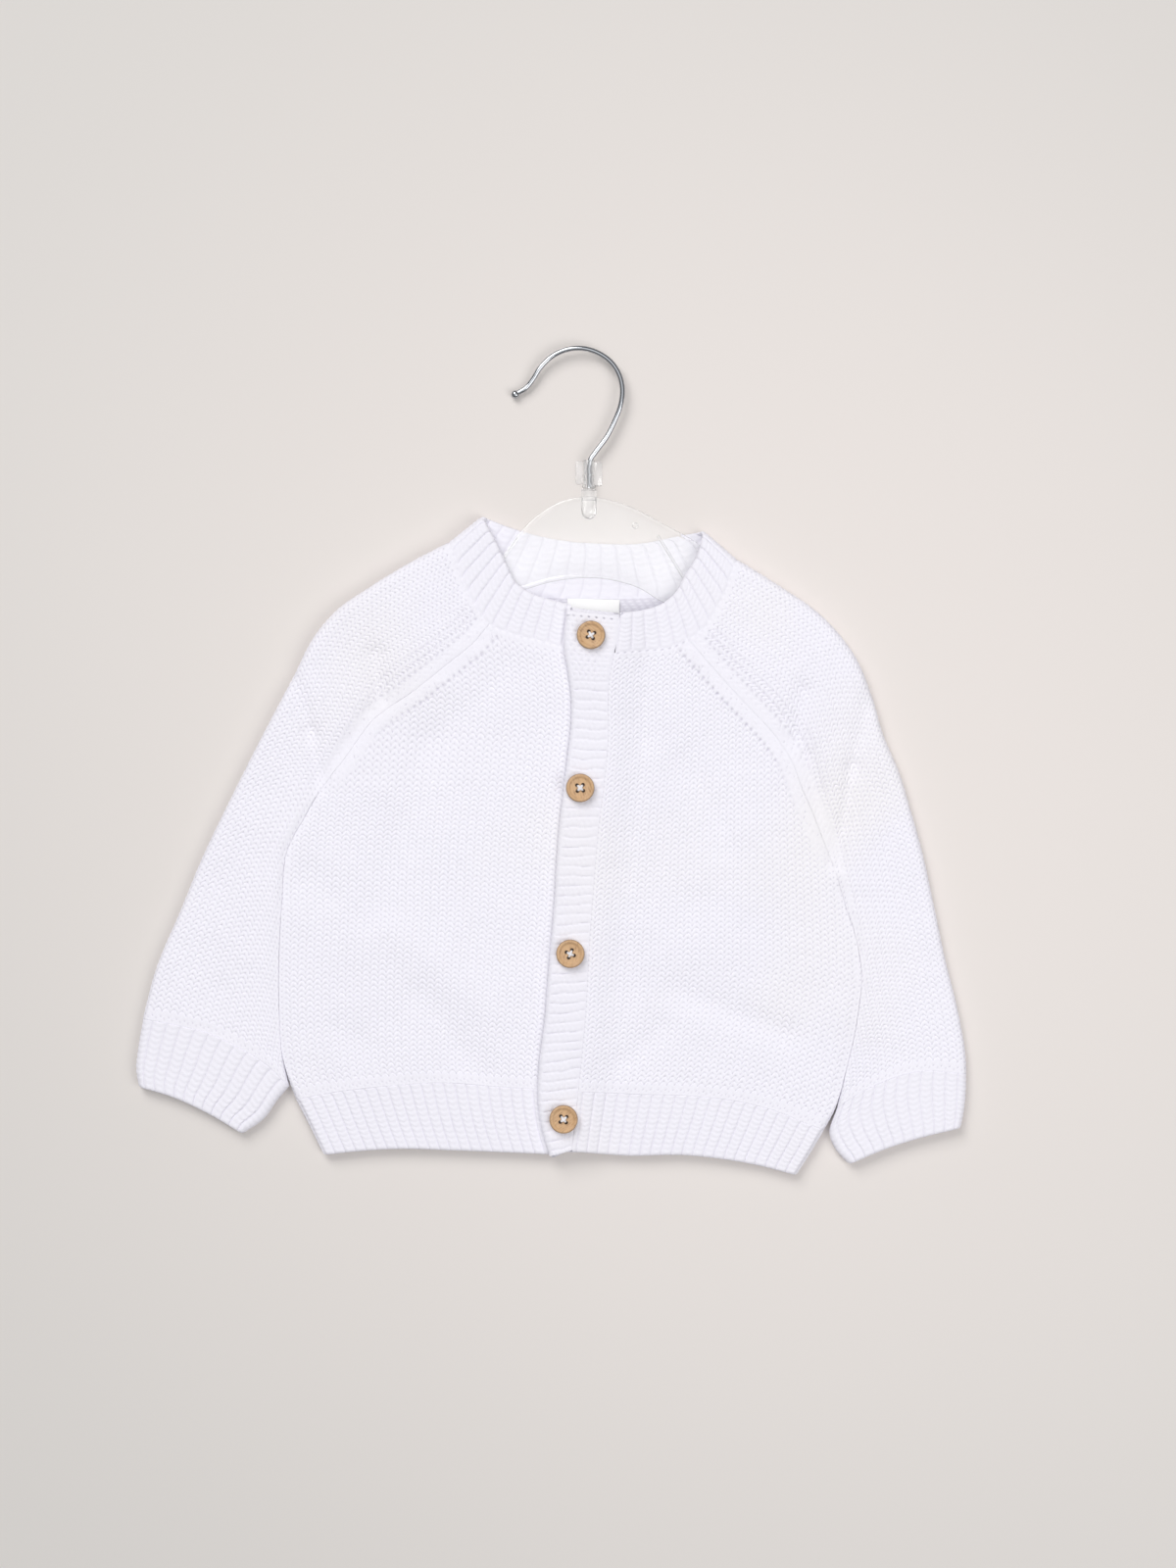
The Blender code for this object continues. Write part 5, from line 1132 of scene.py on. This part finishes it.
def lathe(section, sides, steps=4):
    """Points and faces turned round the Z axis from rows of radius and height, closed on the axis."""
    rows = np.array(section, float)
    share = np.linspace(0, len(rows) - 1, (len(rows) - 1) * steps + 1)
    rows = np.stack([np.interp(share, np.arange(len(rows)), rows[:, k]) for k in (0, 1)], axis=1)
    rows = rows[1:-1]
    turn = np.linspace(0, math.tau, sides, endpoint=False)
    grid = np.dstack((rows[:, :1] * np.cos(turn), rows[:, :1] * np.sin(turn),
                      np.repeat(rows[:, 1:], sides, axis=1)))
    points, faces = skin(grid)
    return points, [face[::-1] for face in faces]


def tube_along(points, radius, sides, up=(0.0, 0.0, 1.0)):
    """Points and faces of a round strand along a line of points, with closed ends."""
    points = np.asarray(points, float)
    along = np.gradient(points, axis=0)
    along /= np.linalg.norm(along, axis=1, keepdims=True)
    across = np.cross(along, np.asarray(up, float))
    across /= np.linalg.norm(across, axis=1, keepdims=True)
    over = np.cross(across, along)
    turn = np.linspace(0, math.tau, sides, endpoint=False)[None, :, None]
    radius = np.broadcast_to(radius, len(points))[:, None, None]
    return skin(points[:, None, :] + radius * (np.cos(turn) * across[:, None] + np.sin(turn) * over[:, None]))


def solid_mesh(name, *parts, place=(0.0, 0.0, 0.0)):
    """A mesh of several closed shapes given in millimetres, moved to its place."""
    points, faces, first = [], [], 0
    for made, sides in parts:
        points.append(made)
        faces += [[corner + first for corner in face] for face in sides]
        first += len(made)
    spot = np.concatenate(points) + np.array((place[0] + SHIFT[0], place[1] + SHIFT[1], place[2]))
    mesh = bpy.data.meshes.new(name)
    mesh.from_pydata((spot * MM).tolist(), [], faces)
    solid = bmesh.new()
    solid.from_mesh(mesh)
    bmesh.ops.recalc_face_normals(solid, faces=solid.faces)
    solid.to_mesh(mesh)
    solid.free()
    return mesh


def cut_with(mesh, operation, *tools, sharp=35):
    """The exact Boolean of a mesh with other meshes, as a new mesh with smooth faces."""
    body = placed(mesh.name + "_raw", mesh)
    helpers = []
    for number, shape in enumerate(tools):
        helper = placed("%s_tool_%d" % (mesh.name, number), shape)
        modifier = body.modifiers.new("cut", "BOOLEAN")
        modifier.operation, modifier.solver, modifier.object = operation, "EXACT", helper
        helpers.append(helper)
    graph = bpy.context.evaluated_depsgraph_get()
    made = bpy.data.meshes.new_from_object(body.evaluated_get(graph))
    for item in [body] + helpers:
        bpy.data.objects.remove(item)
    smooth(made, sharp)
    return made


def finished(name, mesh, material, solid):
    """The object of a solid piece in one material, with the solid it stands for and its body."""
    mesh.materials.clear()
    mesh.materials.append(material)
    stand_for(placed(name, mesh), solid)


def turned(points, angle):
    """Points turned round the Z axis."""
    c, s = math.cos(angle), math.sin(angle)
    return points @ np.array(((c, s, 0.0), (-s, c, 0.0), (0.0, 0.0, 1.0)))


def scaled(tree, value, times, plus=0.0):
    """A value times a number, plus a number."""
    return node(tree, "ShaderNodeMath", {"operation": "MULTIPLY_ADD"}, i0=value, i1=times, i2=plus).outputs[0]


def ramp(tree, value, stops):
    """A colour ramp with stops of place and colour."""
    made = node(tree, "ShaderNodeValToRGB", i0=value)
    elements = made.color_ramp.elements
    for number, (place, colour) in enumerate(stops):
        stop = elements[number] if number < 2 else elements.new(place)
        stop.position, stop.color = place, colour
    return made.outputs[0]


def coconut():
    """Coconut shell: a tan ground with darker and yellower fibres along the grain, darker brown
    round the outer rim, and painted shade on the walls of the holes."""
    made, tree, shader = new_material("coconut_shell")
    grain = node(tree, "ShaderNodeAttribute", {"attribute_name": "grain"}).outputs["Vector"]
    rim_dark_and_hole_shade = node(tree, "ShaderNodeAttribute", {"attribute_name": "rim_dark_and_hole_shade"}).outputs["Fac"]
    long = node(tree, "ShaderNodeMapping", Vector=grain, Scale=(0.28, 1.5, 1.0))
    streak = noise(tree, long.outputs[0], 1.0, 6.0, Roughness=0.65)
    cloud = noise(tree, grain, 0.22, 3.0)
    shell = ramp(tree, streak, [(0.30, (0.33, 0.18, 0.085, 1)), (0.44, (0.62, 0.41, 0.235, 1)),
                                (0.62, (0.70, 0.47, 0.26, 1))])
    tone = blend(tree, scaled(tree, cloud, 0.7), shell, (0.92, 0.80, 0.70, 1), "MULTIPLY")
    feed(tree, shader, Base_Color=blend(tree, rim_dark_and_hole_shade, tone, (0.11, 0.06, 0.035, 1)),
         Roughness=scaled(tree, streak, 0.25, 0.34), Normal=bumped(tree, 0.35, 0.00008, streak))
    return made


def thread_material():
    """White sewing thread with its twist as a fine bump."""
    made, tree, shader = new_material("white_thread")
    twist = noise(tree, own_place(tree), 4200.0, 2.0)
    feed(tree, shader, Base_Color=blend(tree, twist, (0.84, 0.83, 0.86, 1), (0.95, 0.945, 0.97, 1)),
         Roughness=0.6, Normal=bumped(tree, 0.5, 0.00006, twist))
    return made


def crossed_thread(holes, chance):
    """Two crossing bundles of three strands, and the knot over them. From hole to hole a strand's
    height is a flat bow, (sin pi t)^0.6, that drops into the holes at both ends, and the strands of
    a bundle spread towards its middle. The upper bundle bows higher, to clear the lower."""
    made = []
    share = np.linspace(0.0, 1.0, 25)
    bow = np.sin(math.pi * share)
    drop = ease((0.10 - share) / 0.10) + ease((share - 0.90) / 0.10)
    for pair in (0, 1):
        start, end = 0.88 * holes[pair], 0.88 * holes[pair + 2]
        across = np.array((holes[pair][1], -holes[pair][0])) / HOLE_CIRCLE
        for strand in (-1, 0, 1):
            spread = strand * THREAD_SPREAD + chance.uniform(-0.05, 0.05)
            flat = start + (end - start) * share[:, None] + across * spread * (0.55 + 0.8 * bow[:, None])
            lift = THREAD_LIFT + 0.55 * bow ** 0.6 + 0.35 * pair * bow ** 2 - THREAD_DROP * drop
            line = np.column_stack((flat, lift + 0.06 * strand))
            made.append(tube_along(line, THREAD_RADIUS, 8, up=(*across, 0.0)))
    ring = np.linspace(0, math.tau, 13)
    knot = np.column_stack((0.55 * np.cos(ring), 0.55 * np.sin(ring), KNOT_LIFT + 0.08 * np.sin(2 * ring)))
    return made + [tube_along(knot, KNOT_RADIUS, 8)]


COCONUT, THREAD = coconut(), thread_material()
strands = np.random.default_rng(31)
for number, (x, y, turn) in enumerate(BUTTONS, 1):
    node_low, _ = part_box("button_%d" % number)
    place = (x, y, node_low.z / MM)
    disc = solid_mesh("button_%d_disc" % number, lathe(BUTTON_SECTION, 64, 3), place=place)
    angles = math.radians(turn) + math.pi / 4 + np.arange(4) * math.pi / 2
    holes = HOLE_CIRCLE * np.stack((np.cos(angles), np.sin(angles)), axis=1)
    drills = [tube_along([(hx, hy, HOLE_FLOOR), (hx, hy, 4.0)], HOLE_RADIUS, 20, up=(0, 1, 0))
              for hx, hy in holes]
    drills = [solid_mesh("drill", drill, place=place) for drill in drills]
    mesh = cut_with(disc, "DIFFERENCE", *drills)
    spot = np.zeros(len(mesh.vertices) * 3, np.float32)
    mesh.vertices.foreach_get("co", spot)
    local = spot.reshape(-1, 3) / MM - np.array((x + SHIFT[0], y + SHIFT[1], place[2]))
    away = np.hypot(local[:, 0], local[:, 1])
    hole = np.abs(np.hypot(*(local[:, None, :2] - holes[None]).T).min(axis=0) - HOLE_RADIUS) < 0.1
    # Darker round the outer rim, and painted shade on the walls of the holes, strongest below their lip.
    rim_dark_and_hole_shade = 0.5 * ease((away - 6.0) / 0.4) + 0.85 * hole * (local[:, 2] < 1.7) + 0.15 * hole
    grain = turned(local, math.radians(35.0 * number)) + np.array((17.0 * number, 9.0 * number, 0.0))
    for label, kind, field, values in (("grain", "FLOAT_VECTOR", "vector", grain),
                                       ("rim_dark_and_hole_shade", "FLOAT", "value", rim_dark_and_hole_shade)):
        mesh.attributes.new(label, kind, "POINT").data.foreach_set(field, values.astype(np.float32).ravel())
    finished("coconut_button_%d" % number, mesh, COCONUT, "button_%d" % number)

    mesh = solid_mesh("thread_%d" % number, *crossed_thread(holes, strands), place=place)
    mesh.shade_smooth()
    mesh.materials.append(THREAD)
    thread = placed("button_thread_%d" % number, mesh)
    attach(thread, "root")

# ------------------------------------------------------------------ neck label
# A bare tab of white woven satin. It is folded and sewn in under the back neckband, and lies on the
# inside of the back.
LABEL_CENTRE, LABEL_SIZE, LABEL_TURN = (19.0, 65.9), (24.0, 15.6), -1.5
LABEL_LOW, LABEL_THICK, LABEL_WAVE = 2.9, 0.4, 0.07


def satin():
    """Polyester satin: a bright smooth white with fine floats across the tab as a bump."""
    made, tree, shader = new_material("label_satin")
    place = node(tree, "ShaderNodeUVMap", {"uv_map": "stitches"})
    floats = node(tree, "ShaderNodeTexWave", {"bands_direction": "Y"}, Vector=place.outputs[0], Scale=1.6,
                  Distortion=0.6, Detail=1.0).outputs["Fac"]
    feed(tree, shader, Base_Color=blend(tree, floats, (0.97, 0.97, 0.965, 1), (0.995, 0.995, 0.985, 1)),
         Roughness=0.38, Normal=bumped(tree, 0.2, 0.00003, floats))
    return made


share_x, share_y = np.meshgrid(np.linspace(-0.5, 0.5, 41), np.linspace(-0.5, 0.5, 27))
flat = np.dstack((share_x * LABEL_SIZE[0], share_y * LABEL_SIZE[1], np.zeros_like(share_x)))
place = turned(flat.reshape(-1, 3), math.radians(LABEL_TURN)).reshape(flat.shape)
place = place + np.array((*LABEL_CENTRE, 0.0))
wave = LABEL_LOW + LABEL_WAVE * wander(flat[..., 0], flat[..., 1], 6.0, 21)
outer, inner = place.copy(), place.copy()
outer[..., 2], inner[..., 2] = wave + LABEL_THICK, wave
edge = np.minimum(LABEL_SIZE[0] / 2 - np.abs(flat[..., 0]), LABEL_SIZE[1] / 2 - np.abs(flat[..., 1]))
outer, inner = rounded(outer, inner, np.broadcast_to(np.array((0.0, 0.0, 1.0)), outer.shape), edge, 0.15)
tab = cloth("satin_label", outer, inner, flat[..., :2], 0.0, 1.0)
dress(tab, satin(), "label", (0.024, 0.0156), 0.00037, ["back_panel"], "label")

# ------------------------------------------------------------------ hanger
# A clear moulded hanger: a thin plate with a raised rim, two stiffening bars and a small gate mark,
# and a round boss that takes the hook.
HANGER_TOP = [(-70.0, 64.0), (-48.0, 79.0), (-23.4, 93.0), (-14.9, 103.7), (-5.9, 112.4), (3.0, 117.8),
              (17.0, 120.6), (31.0, 117.8), (53.1, 107.0), (66.6, 99.3), (76.0, 90.4), (88.7, 80.6),
              (103.5, 67.2)]
HANGER_LOW = [(100.0, 61.0), (82.0, 66.5), (66.0, 68.5), (49.5, 72.9), (41.0, 78.2), (29.7, 81.9),
              (15.3, 83.4), (2.2, 82.0), (-13.1, 77.8), (-30.0, 72.0), (-48.0, 64.5), (-67.0, 58.0)]
HANGER_BARS = [((-15.3, 101.5), (-27.0, 84.9)), ((48.6, 102.8), (60.4, 83.4))]
GATE_MARK, GATE_RADIUS, GATE_RING = (38.3, 107.3), 1.2, 0.25
BAR_RADIUS = 0.6
TIP_REACH = 6.0           # how far from an arm's corners its rim gets narrower
PLATE_BOTTOM, PLATE_THICK = 3.3, 1.6
# The rim's section: distance in from the edge and height above the plate's underside.
RIM_SECTION = [(0.5, 0.0), (0.15, 0.12), (0.0, 0.5), (0.0, 1.8), (0.15, 2.2), (0.5, 2.4), (1.2, 2.4),
               (1.5, 2.25), (1.65, 1.95), (1.75, 1.7), (2.0, 1.6)]
# The boss lies along Y, and its axis is that of the marker and of the hook's root.
STEM_X, STEM_BOTTOM, STEM_TOP, STEM_RADIUS = 17.1, 110.2, 124.0, 3.5
STEM_AXIS = PLATE_BOTTOM + 0.9


def clear_plastic():
    """Clear polystyrene. Light from lamps and from the cloth passes it as if it weren't there, so
    that it neither shades nor lights what is under it; fine scuffs vary its gloss."""
    made, tree, shader = new_material("clear_plastic")
    scuff = noise(tree, own_place(tree), 260.0, 4.0)
    feed(tree, shader, Base_Color=(1.0, 1.0, 1.0, 1), Roughness=scaled(tree, scuff, 0.03),
         Transmission_Weight=0.88, IOR=1.59)
    through = node(tree, "ShaderNodeBsdfTransparent", Color=(0.99, 0.99, 0.99, 1)).outputs[0]
    path = node(tree, "ShaderNodeLightPath").outputs
    seen = shader.outputs[0]
    for ray in ("Is Shadow Ray", "Is Diffuse Ray"):
        seen = node(tree, "ShaderNodeMixShader", i0=path[ray], i1=seen, i2=through).outputs[0]
    feed(tree, tree.nodes["Material Output"], Surface=seen)
    return made


def rings(outline, section, bottom, room=np.ones(1)):
    """Points and faces of a plate with an edge section: one ring of points for each of its rows,
    and the first and last rings filled. Where room is below 1, the section is that much narrower."""
    ahead = np.roll(outline, -1, axis=0) - np.roll(outline, 1, axis=0)
    inward = np.stack((ahead[:, 1], -ahead[:, 0]), axis=1) / np.linalg.norm(ahead, axis=1)[:, None]
    return skin(np.array([np.column_stack((outline + inward * inset * room[:, None],
                                           np.full(len(outline), bottom + height)))
                          for inset, height in section]))


def on_side(points):
    """A shape turned about Z, laid down so that its axis runs along Y."""
    return np.column_stack((points[:, 0], points[:, 2], -points[:, 1]))


upper, lower = curve(HANGER_TOP)(np.linspace(0, 1, 121)), curve(HANGER_LOW)(np.linspace(0, 1, 101))
outline = np.vstack((upper, lower))
tips = np.array((HANGER_TOP[0], HANGER_TOP[-1], HANGER_LOW[0], HANGER_LOW[-1]))
room = np.clip(np.linalg.norm(outline[:, None] - tips[None], axis=-1).min(axis=1) / TIP_REACH, 0.1, 1.0)
shapes = [rings(outline, RIM_SECTION, PLATE_BOTTOM, room)]
for start, end in HANGER_BARS:
    start, end = np.array(start), np.array(end)
    share = np.linspace(0, 1, 17)[:, None]
    line = np.column_stack((start + (end - start) * share, np.full(17, PLATE_BOTTOM + PLATE_THICK)))
    shapes.append(tube_along(line, BAR_RADIUS, 12))
ring = np.linspace(0, math.tau, 25)
mark = np.column_stack((GATE_MARK[0] + GATE_RADIUS * np.cos(ring), GATE_MARK[1] + GATE_RADIUS * np.sin(ring),
                        np.full(25, PLATE_BOTTOM + PLATE_THICK)))
shapes.append(tube_along(mark, GATE_RING, 8))
stem_length = STEM_TOP - STEM_BOTTOM
section = [(0.0, 0.0), (0.9, 0.12), (1.9, 0.6), (2.8, 1.5), (3.3, 2.6), (STEM_RADIUS, 3.9),
           (STEM_RADIUS, stem_length - 0.4), (3.1, stem_length), (0.0, stem_length)]
stem_points, stem_faces = lathe(section, 40, 2)
shapes.append((on_side(stem_points) + np.array((STEM_X, STEM_BOTTOM, STEM_AXIS)), stem_faces))
mesh = solid_mesh("clear_hanger", *shapes)
smooth(mesh, 32)
CLEAR = clear_plastic()
finished("clear_hanger", mesh, CLEAR, "hanger")

# ------------------------------------------------------------------ size marker
# A clear snap-on marker round the hook's root: a split barrel with a flag on one side and a grip on
# the other. It is bare.
CLIP_LOW, CLIP_HIGH = 124.3, 137.3
CLIP_FLAG = [(10.9, 126.2), (14.6, 126.2), (14.6, 136.9), (10.9, 136.9)]
CLIP_GRIP = [(19.4, 125.4), (23.3, 125.4), (23.3, 136.4), (19.4, 136.4)]
FLAG_THICK, GRIP_THICK = 1.8, 4.0
CLIP_EDGE = [(0.35, 0.0), (0.1, 0.12), (0.0, 0.4)]
BORE_X, BORE_RADIUS = 17.4, 2.0
# The barrel's turned section: distance from its axis and height along it.
BARREL_SECTION = [(0.0, 0.0), (2.6, 0.0), (2.95, 0.3), (3.1, 0.8), (3.1, 6.0), (2.8, 6.4), (2.8, 12.2),
                  (2.5, 12.9), (0.0, 13.0)]


def block(outline, low, height):
    """A block with rounded edges over an outline with rounded corners."""
    corners = np.array(outline, float)
    middle = corners.mean(axis=0)
    turn = np.linspace(0, math.tau, 48, endpoint=False)
    half = (corners.max(axis=0) - corners.min(axis=0)) / 2
    spot = np.stack((np.cos(turn), np.sin(turn)), axis=1)
    spot = np.sign(spot) * np.abs(spot) ** 0.35 * half + middle
    section = CLIP_EDGE + [(inset, height - rise) for inset, rise in CLIP_EDGE[::-1]]
    return rings(spot[::-1], section, low)


barrel_points, barrel_faces = lathe(BARREL_SECTION, 32, 2)
barrel = solid_mesh("barrel", (on_side(barrel_points), barrel_faces), place=(STEM_X, CLIP_LOW, STEM_AXIS))
flag = solid_mesh("flag", block(CLIP_FLAG, STEM_AXIS - FLAG_THICK / 2, FLAG_THICK))
grip = solid_mesh("grip", block(CLIP_GRIP, STEM_AXIS - GRIP_THICK / 2, GRIP_THICK))
joined_clip = cut_with(barrel, "UNION", flag, grip, sharp=30)
bore_line = [(BORE_X, CLIP_LOW - 2, STEM_AXIS), (BORE_X, CLIP_HIGH + 4, STEM_AXIS)]
bore = solid_mesh("bore", tube_along(bore_line, BORE_RADIUS, 24))
mesh = cut_with(joined_clip, "DIFFERENCE", bore, sharp=30)
finished("clear_marker", mesh, CLEAR, "size_clip")

# ------------------------------------------------------------------ hook
# The hook is bright plated wire, bent to an arch that ends in a small ball. Its root runs down into
# the hanger's boss.
HOOK = [(17.1, 124.7, 4.2), (17.1, 129.0, 4.2), (17.1, 133.4, 4.2), (17.6, 137.1, 4.2), (20.2, 141.1, 4.2),
        (25.2, 147.9, 4.3), (28.9, 155.3, 4.5), (31.5, 162.2, 4.8), (32.4, 169.4, 5.0), (31.1, 175.9, 5.0),
        (27.5, 181.8, 5.0), (21.6, 186.2, 4.9), (13.4, 188.5, 4.8), (5.4, 187.4, 4.5), (-1.2, 183.8, 4.0),
        (-5.6, 179.2, 3.5), (-8.9, 174.0, 3.0), (-12.0, 170.4, 2.5), (-16.0, 168.0, 2.2)]
WIRE_RADIUS, BALL_RADIUS, BALL_CENTRE = 1.2, 1.95, (-16.7, 167.6, 2.1)


def chrome():
    """Bright nickel plating, with faint drawing marks."""
    made, tree, shader = new_material("bright_plating")
    marks = noise(tree, own_place(tree), 700.0, 3.0)
    feed(tree, shader, Base_Color=(0.47, 0.485, 0.51, 1), Metallic=1.0,
         Roughness=scaled(tree, marks, 0.05, 0.02))
    return made


line = curve(HOOK)(np.linspace(0, 1, 181))
turn = np.linspace(0, math.pi, 17)
ball = [(BALL_RADIUS * math.sin(angle), -BALL_RADIUS * math.cos(angle)) for angle in turn]
ball_points, ball_faces = lathe(ball[::-1], 32, 1)
mesh = solid_mesh("plated_hook", tube_along(line, WIRE_RADIUS, 24),
                  (ball_points + np.array(BALL_CENTRE), ball_faces))
smooth(mesh, 50)
finished("plated_hook", mesh, chrome(), "hook")

# ------------------------------------------------------------------ floor, light and camera
# A pale, matt paper surface. A large soft lamp stands to the upper left and a weaker one to the
# lower right, and the view is from straight above.
floor_mesh = bpy.data.meshes.new("floor")
floor_mesh.from_pydata([(-3, -3, 0), (3, -3, 0), (3, 3, 0), (-3, 3, 0)], [], [(0, 1, 2, 3)])
floor = placed("floor", floor_mesh)
floor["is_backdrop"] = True
paper, tree, shader = new_material("paper")
place = own_place(tree)
tone = blend(tree, noise(tree, place, 2.2, 2.0), (0.82, 0.768, 0.737, 1), (0.852, 0.80, 0.768, 1))
# Painted light fall-off: the paper's colour is a little greyer away from its middle.
centre = node(tree, "ShaderNodeVectorMath", {"operation": "DISTANCE"}, i0=place, i1=(0.08, 0.0, 0.0))
fade = node(tree, "ShaderNodeMapRange", {"interpolation_type": "SMOOTHSTEP"}, i0=centre.outputs["Value"],
            i1=0.05, i2=0.55, i3=0.0, i4=1.0)
feed(tree, shader, Base_Color=blend(tree, fade.outputs[0], tone, (0.835, 0.86, 0.86, 1), "MULTIPLY"),
     Roughness=0.9, Specular_IOR_Level=0.15)
floor_mesh.materials.append(paper)


def lamp(name, place, aim, size, power, colour):
    """A square area lamp at a place, turned to a point."""
    data = bpy.data.lights.new(name, "AREA")
    data.shape, data.size, data.energy, data.color = "SQUARE", size, power, colour
    made = placed(name, data)
    made.location = place
    way = np.array(aim) - np.array(place)
    tilt = math.acos(-way[2] / np.linalg.norm(way))
    made.rotation_euler = (tilt, 0.0, math.atan2(way[1], way[0]) - math.pi / 2)


lamp("key_lamp", (-1.15, 1.9, 2.25), (0, 0, 0), 1.9, 58.0, (1.0, 0.99, 0.98))
lamp("fill_lamp", (1.1, -0.6, 1.5), (0, 0, 0), 1.2, 12.1, (1.0, 0.99, 0.985))
world = bpy.data.worlds.new("studio")
bpy.context.scene.world = world
world.use_nodes = True
tree, background = world.node_tree, world.node_tree.nodes["Background"]
height = node(tree, "ShaderNodeSeparateXYZ", i0=node(tree, "ShaderNodeTexCoord").outputs["Generated"])
# The room is dark low down and brightest overhead, where a soft box hangs: height and brightness.
SKY = [(0.0, 0.10), (0.25, 0.22), (0.6, 0.58), (0.85, 0.8), (0.93, 1.0), (0.97, 2.2), (1.0, 2.6)]
sky = ramp(tree, height.outputs["Z"], [(up, (level, level * 1.01, level * 1.03, 1)) for up, level in SKY])
feed(tree, background, Color=sky, Strength=0.5)
camera = placed("camera", bpy.data.cameras.new("camera"))
camera.data.lens, camera.data.sensor_width = 80.0, 36.0
VIEW_CENTRE, VIEW_HEIGHT = np.array((16.65, -11.0)), 1600.0
camera.location = (*((VIEW_CENTRE + SHIFT) * MM), VIEW_HEIGHT * MM)
bpy.context.scene.camera = camera
bpy.context.scene.view_settings.view_transform = "Standard"

low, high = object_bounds()
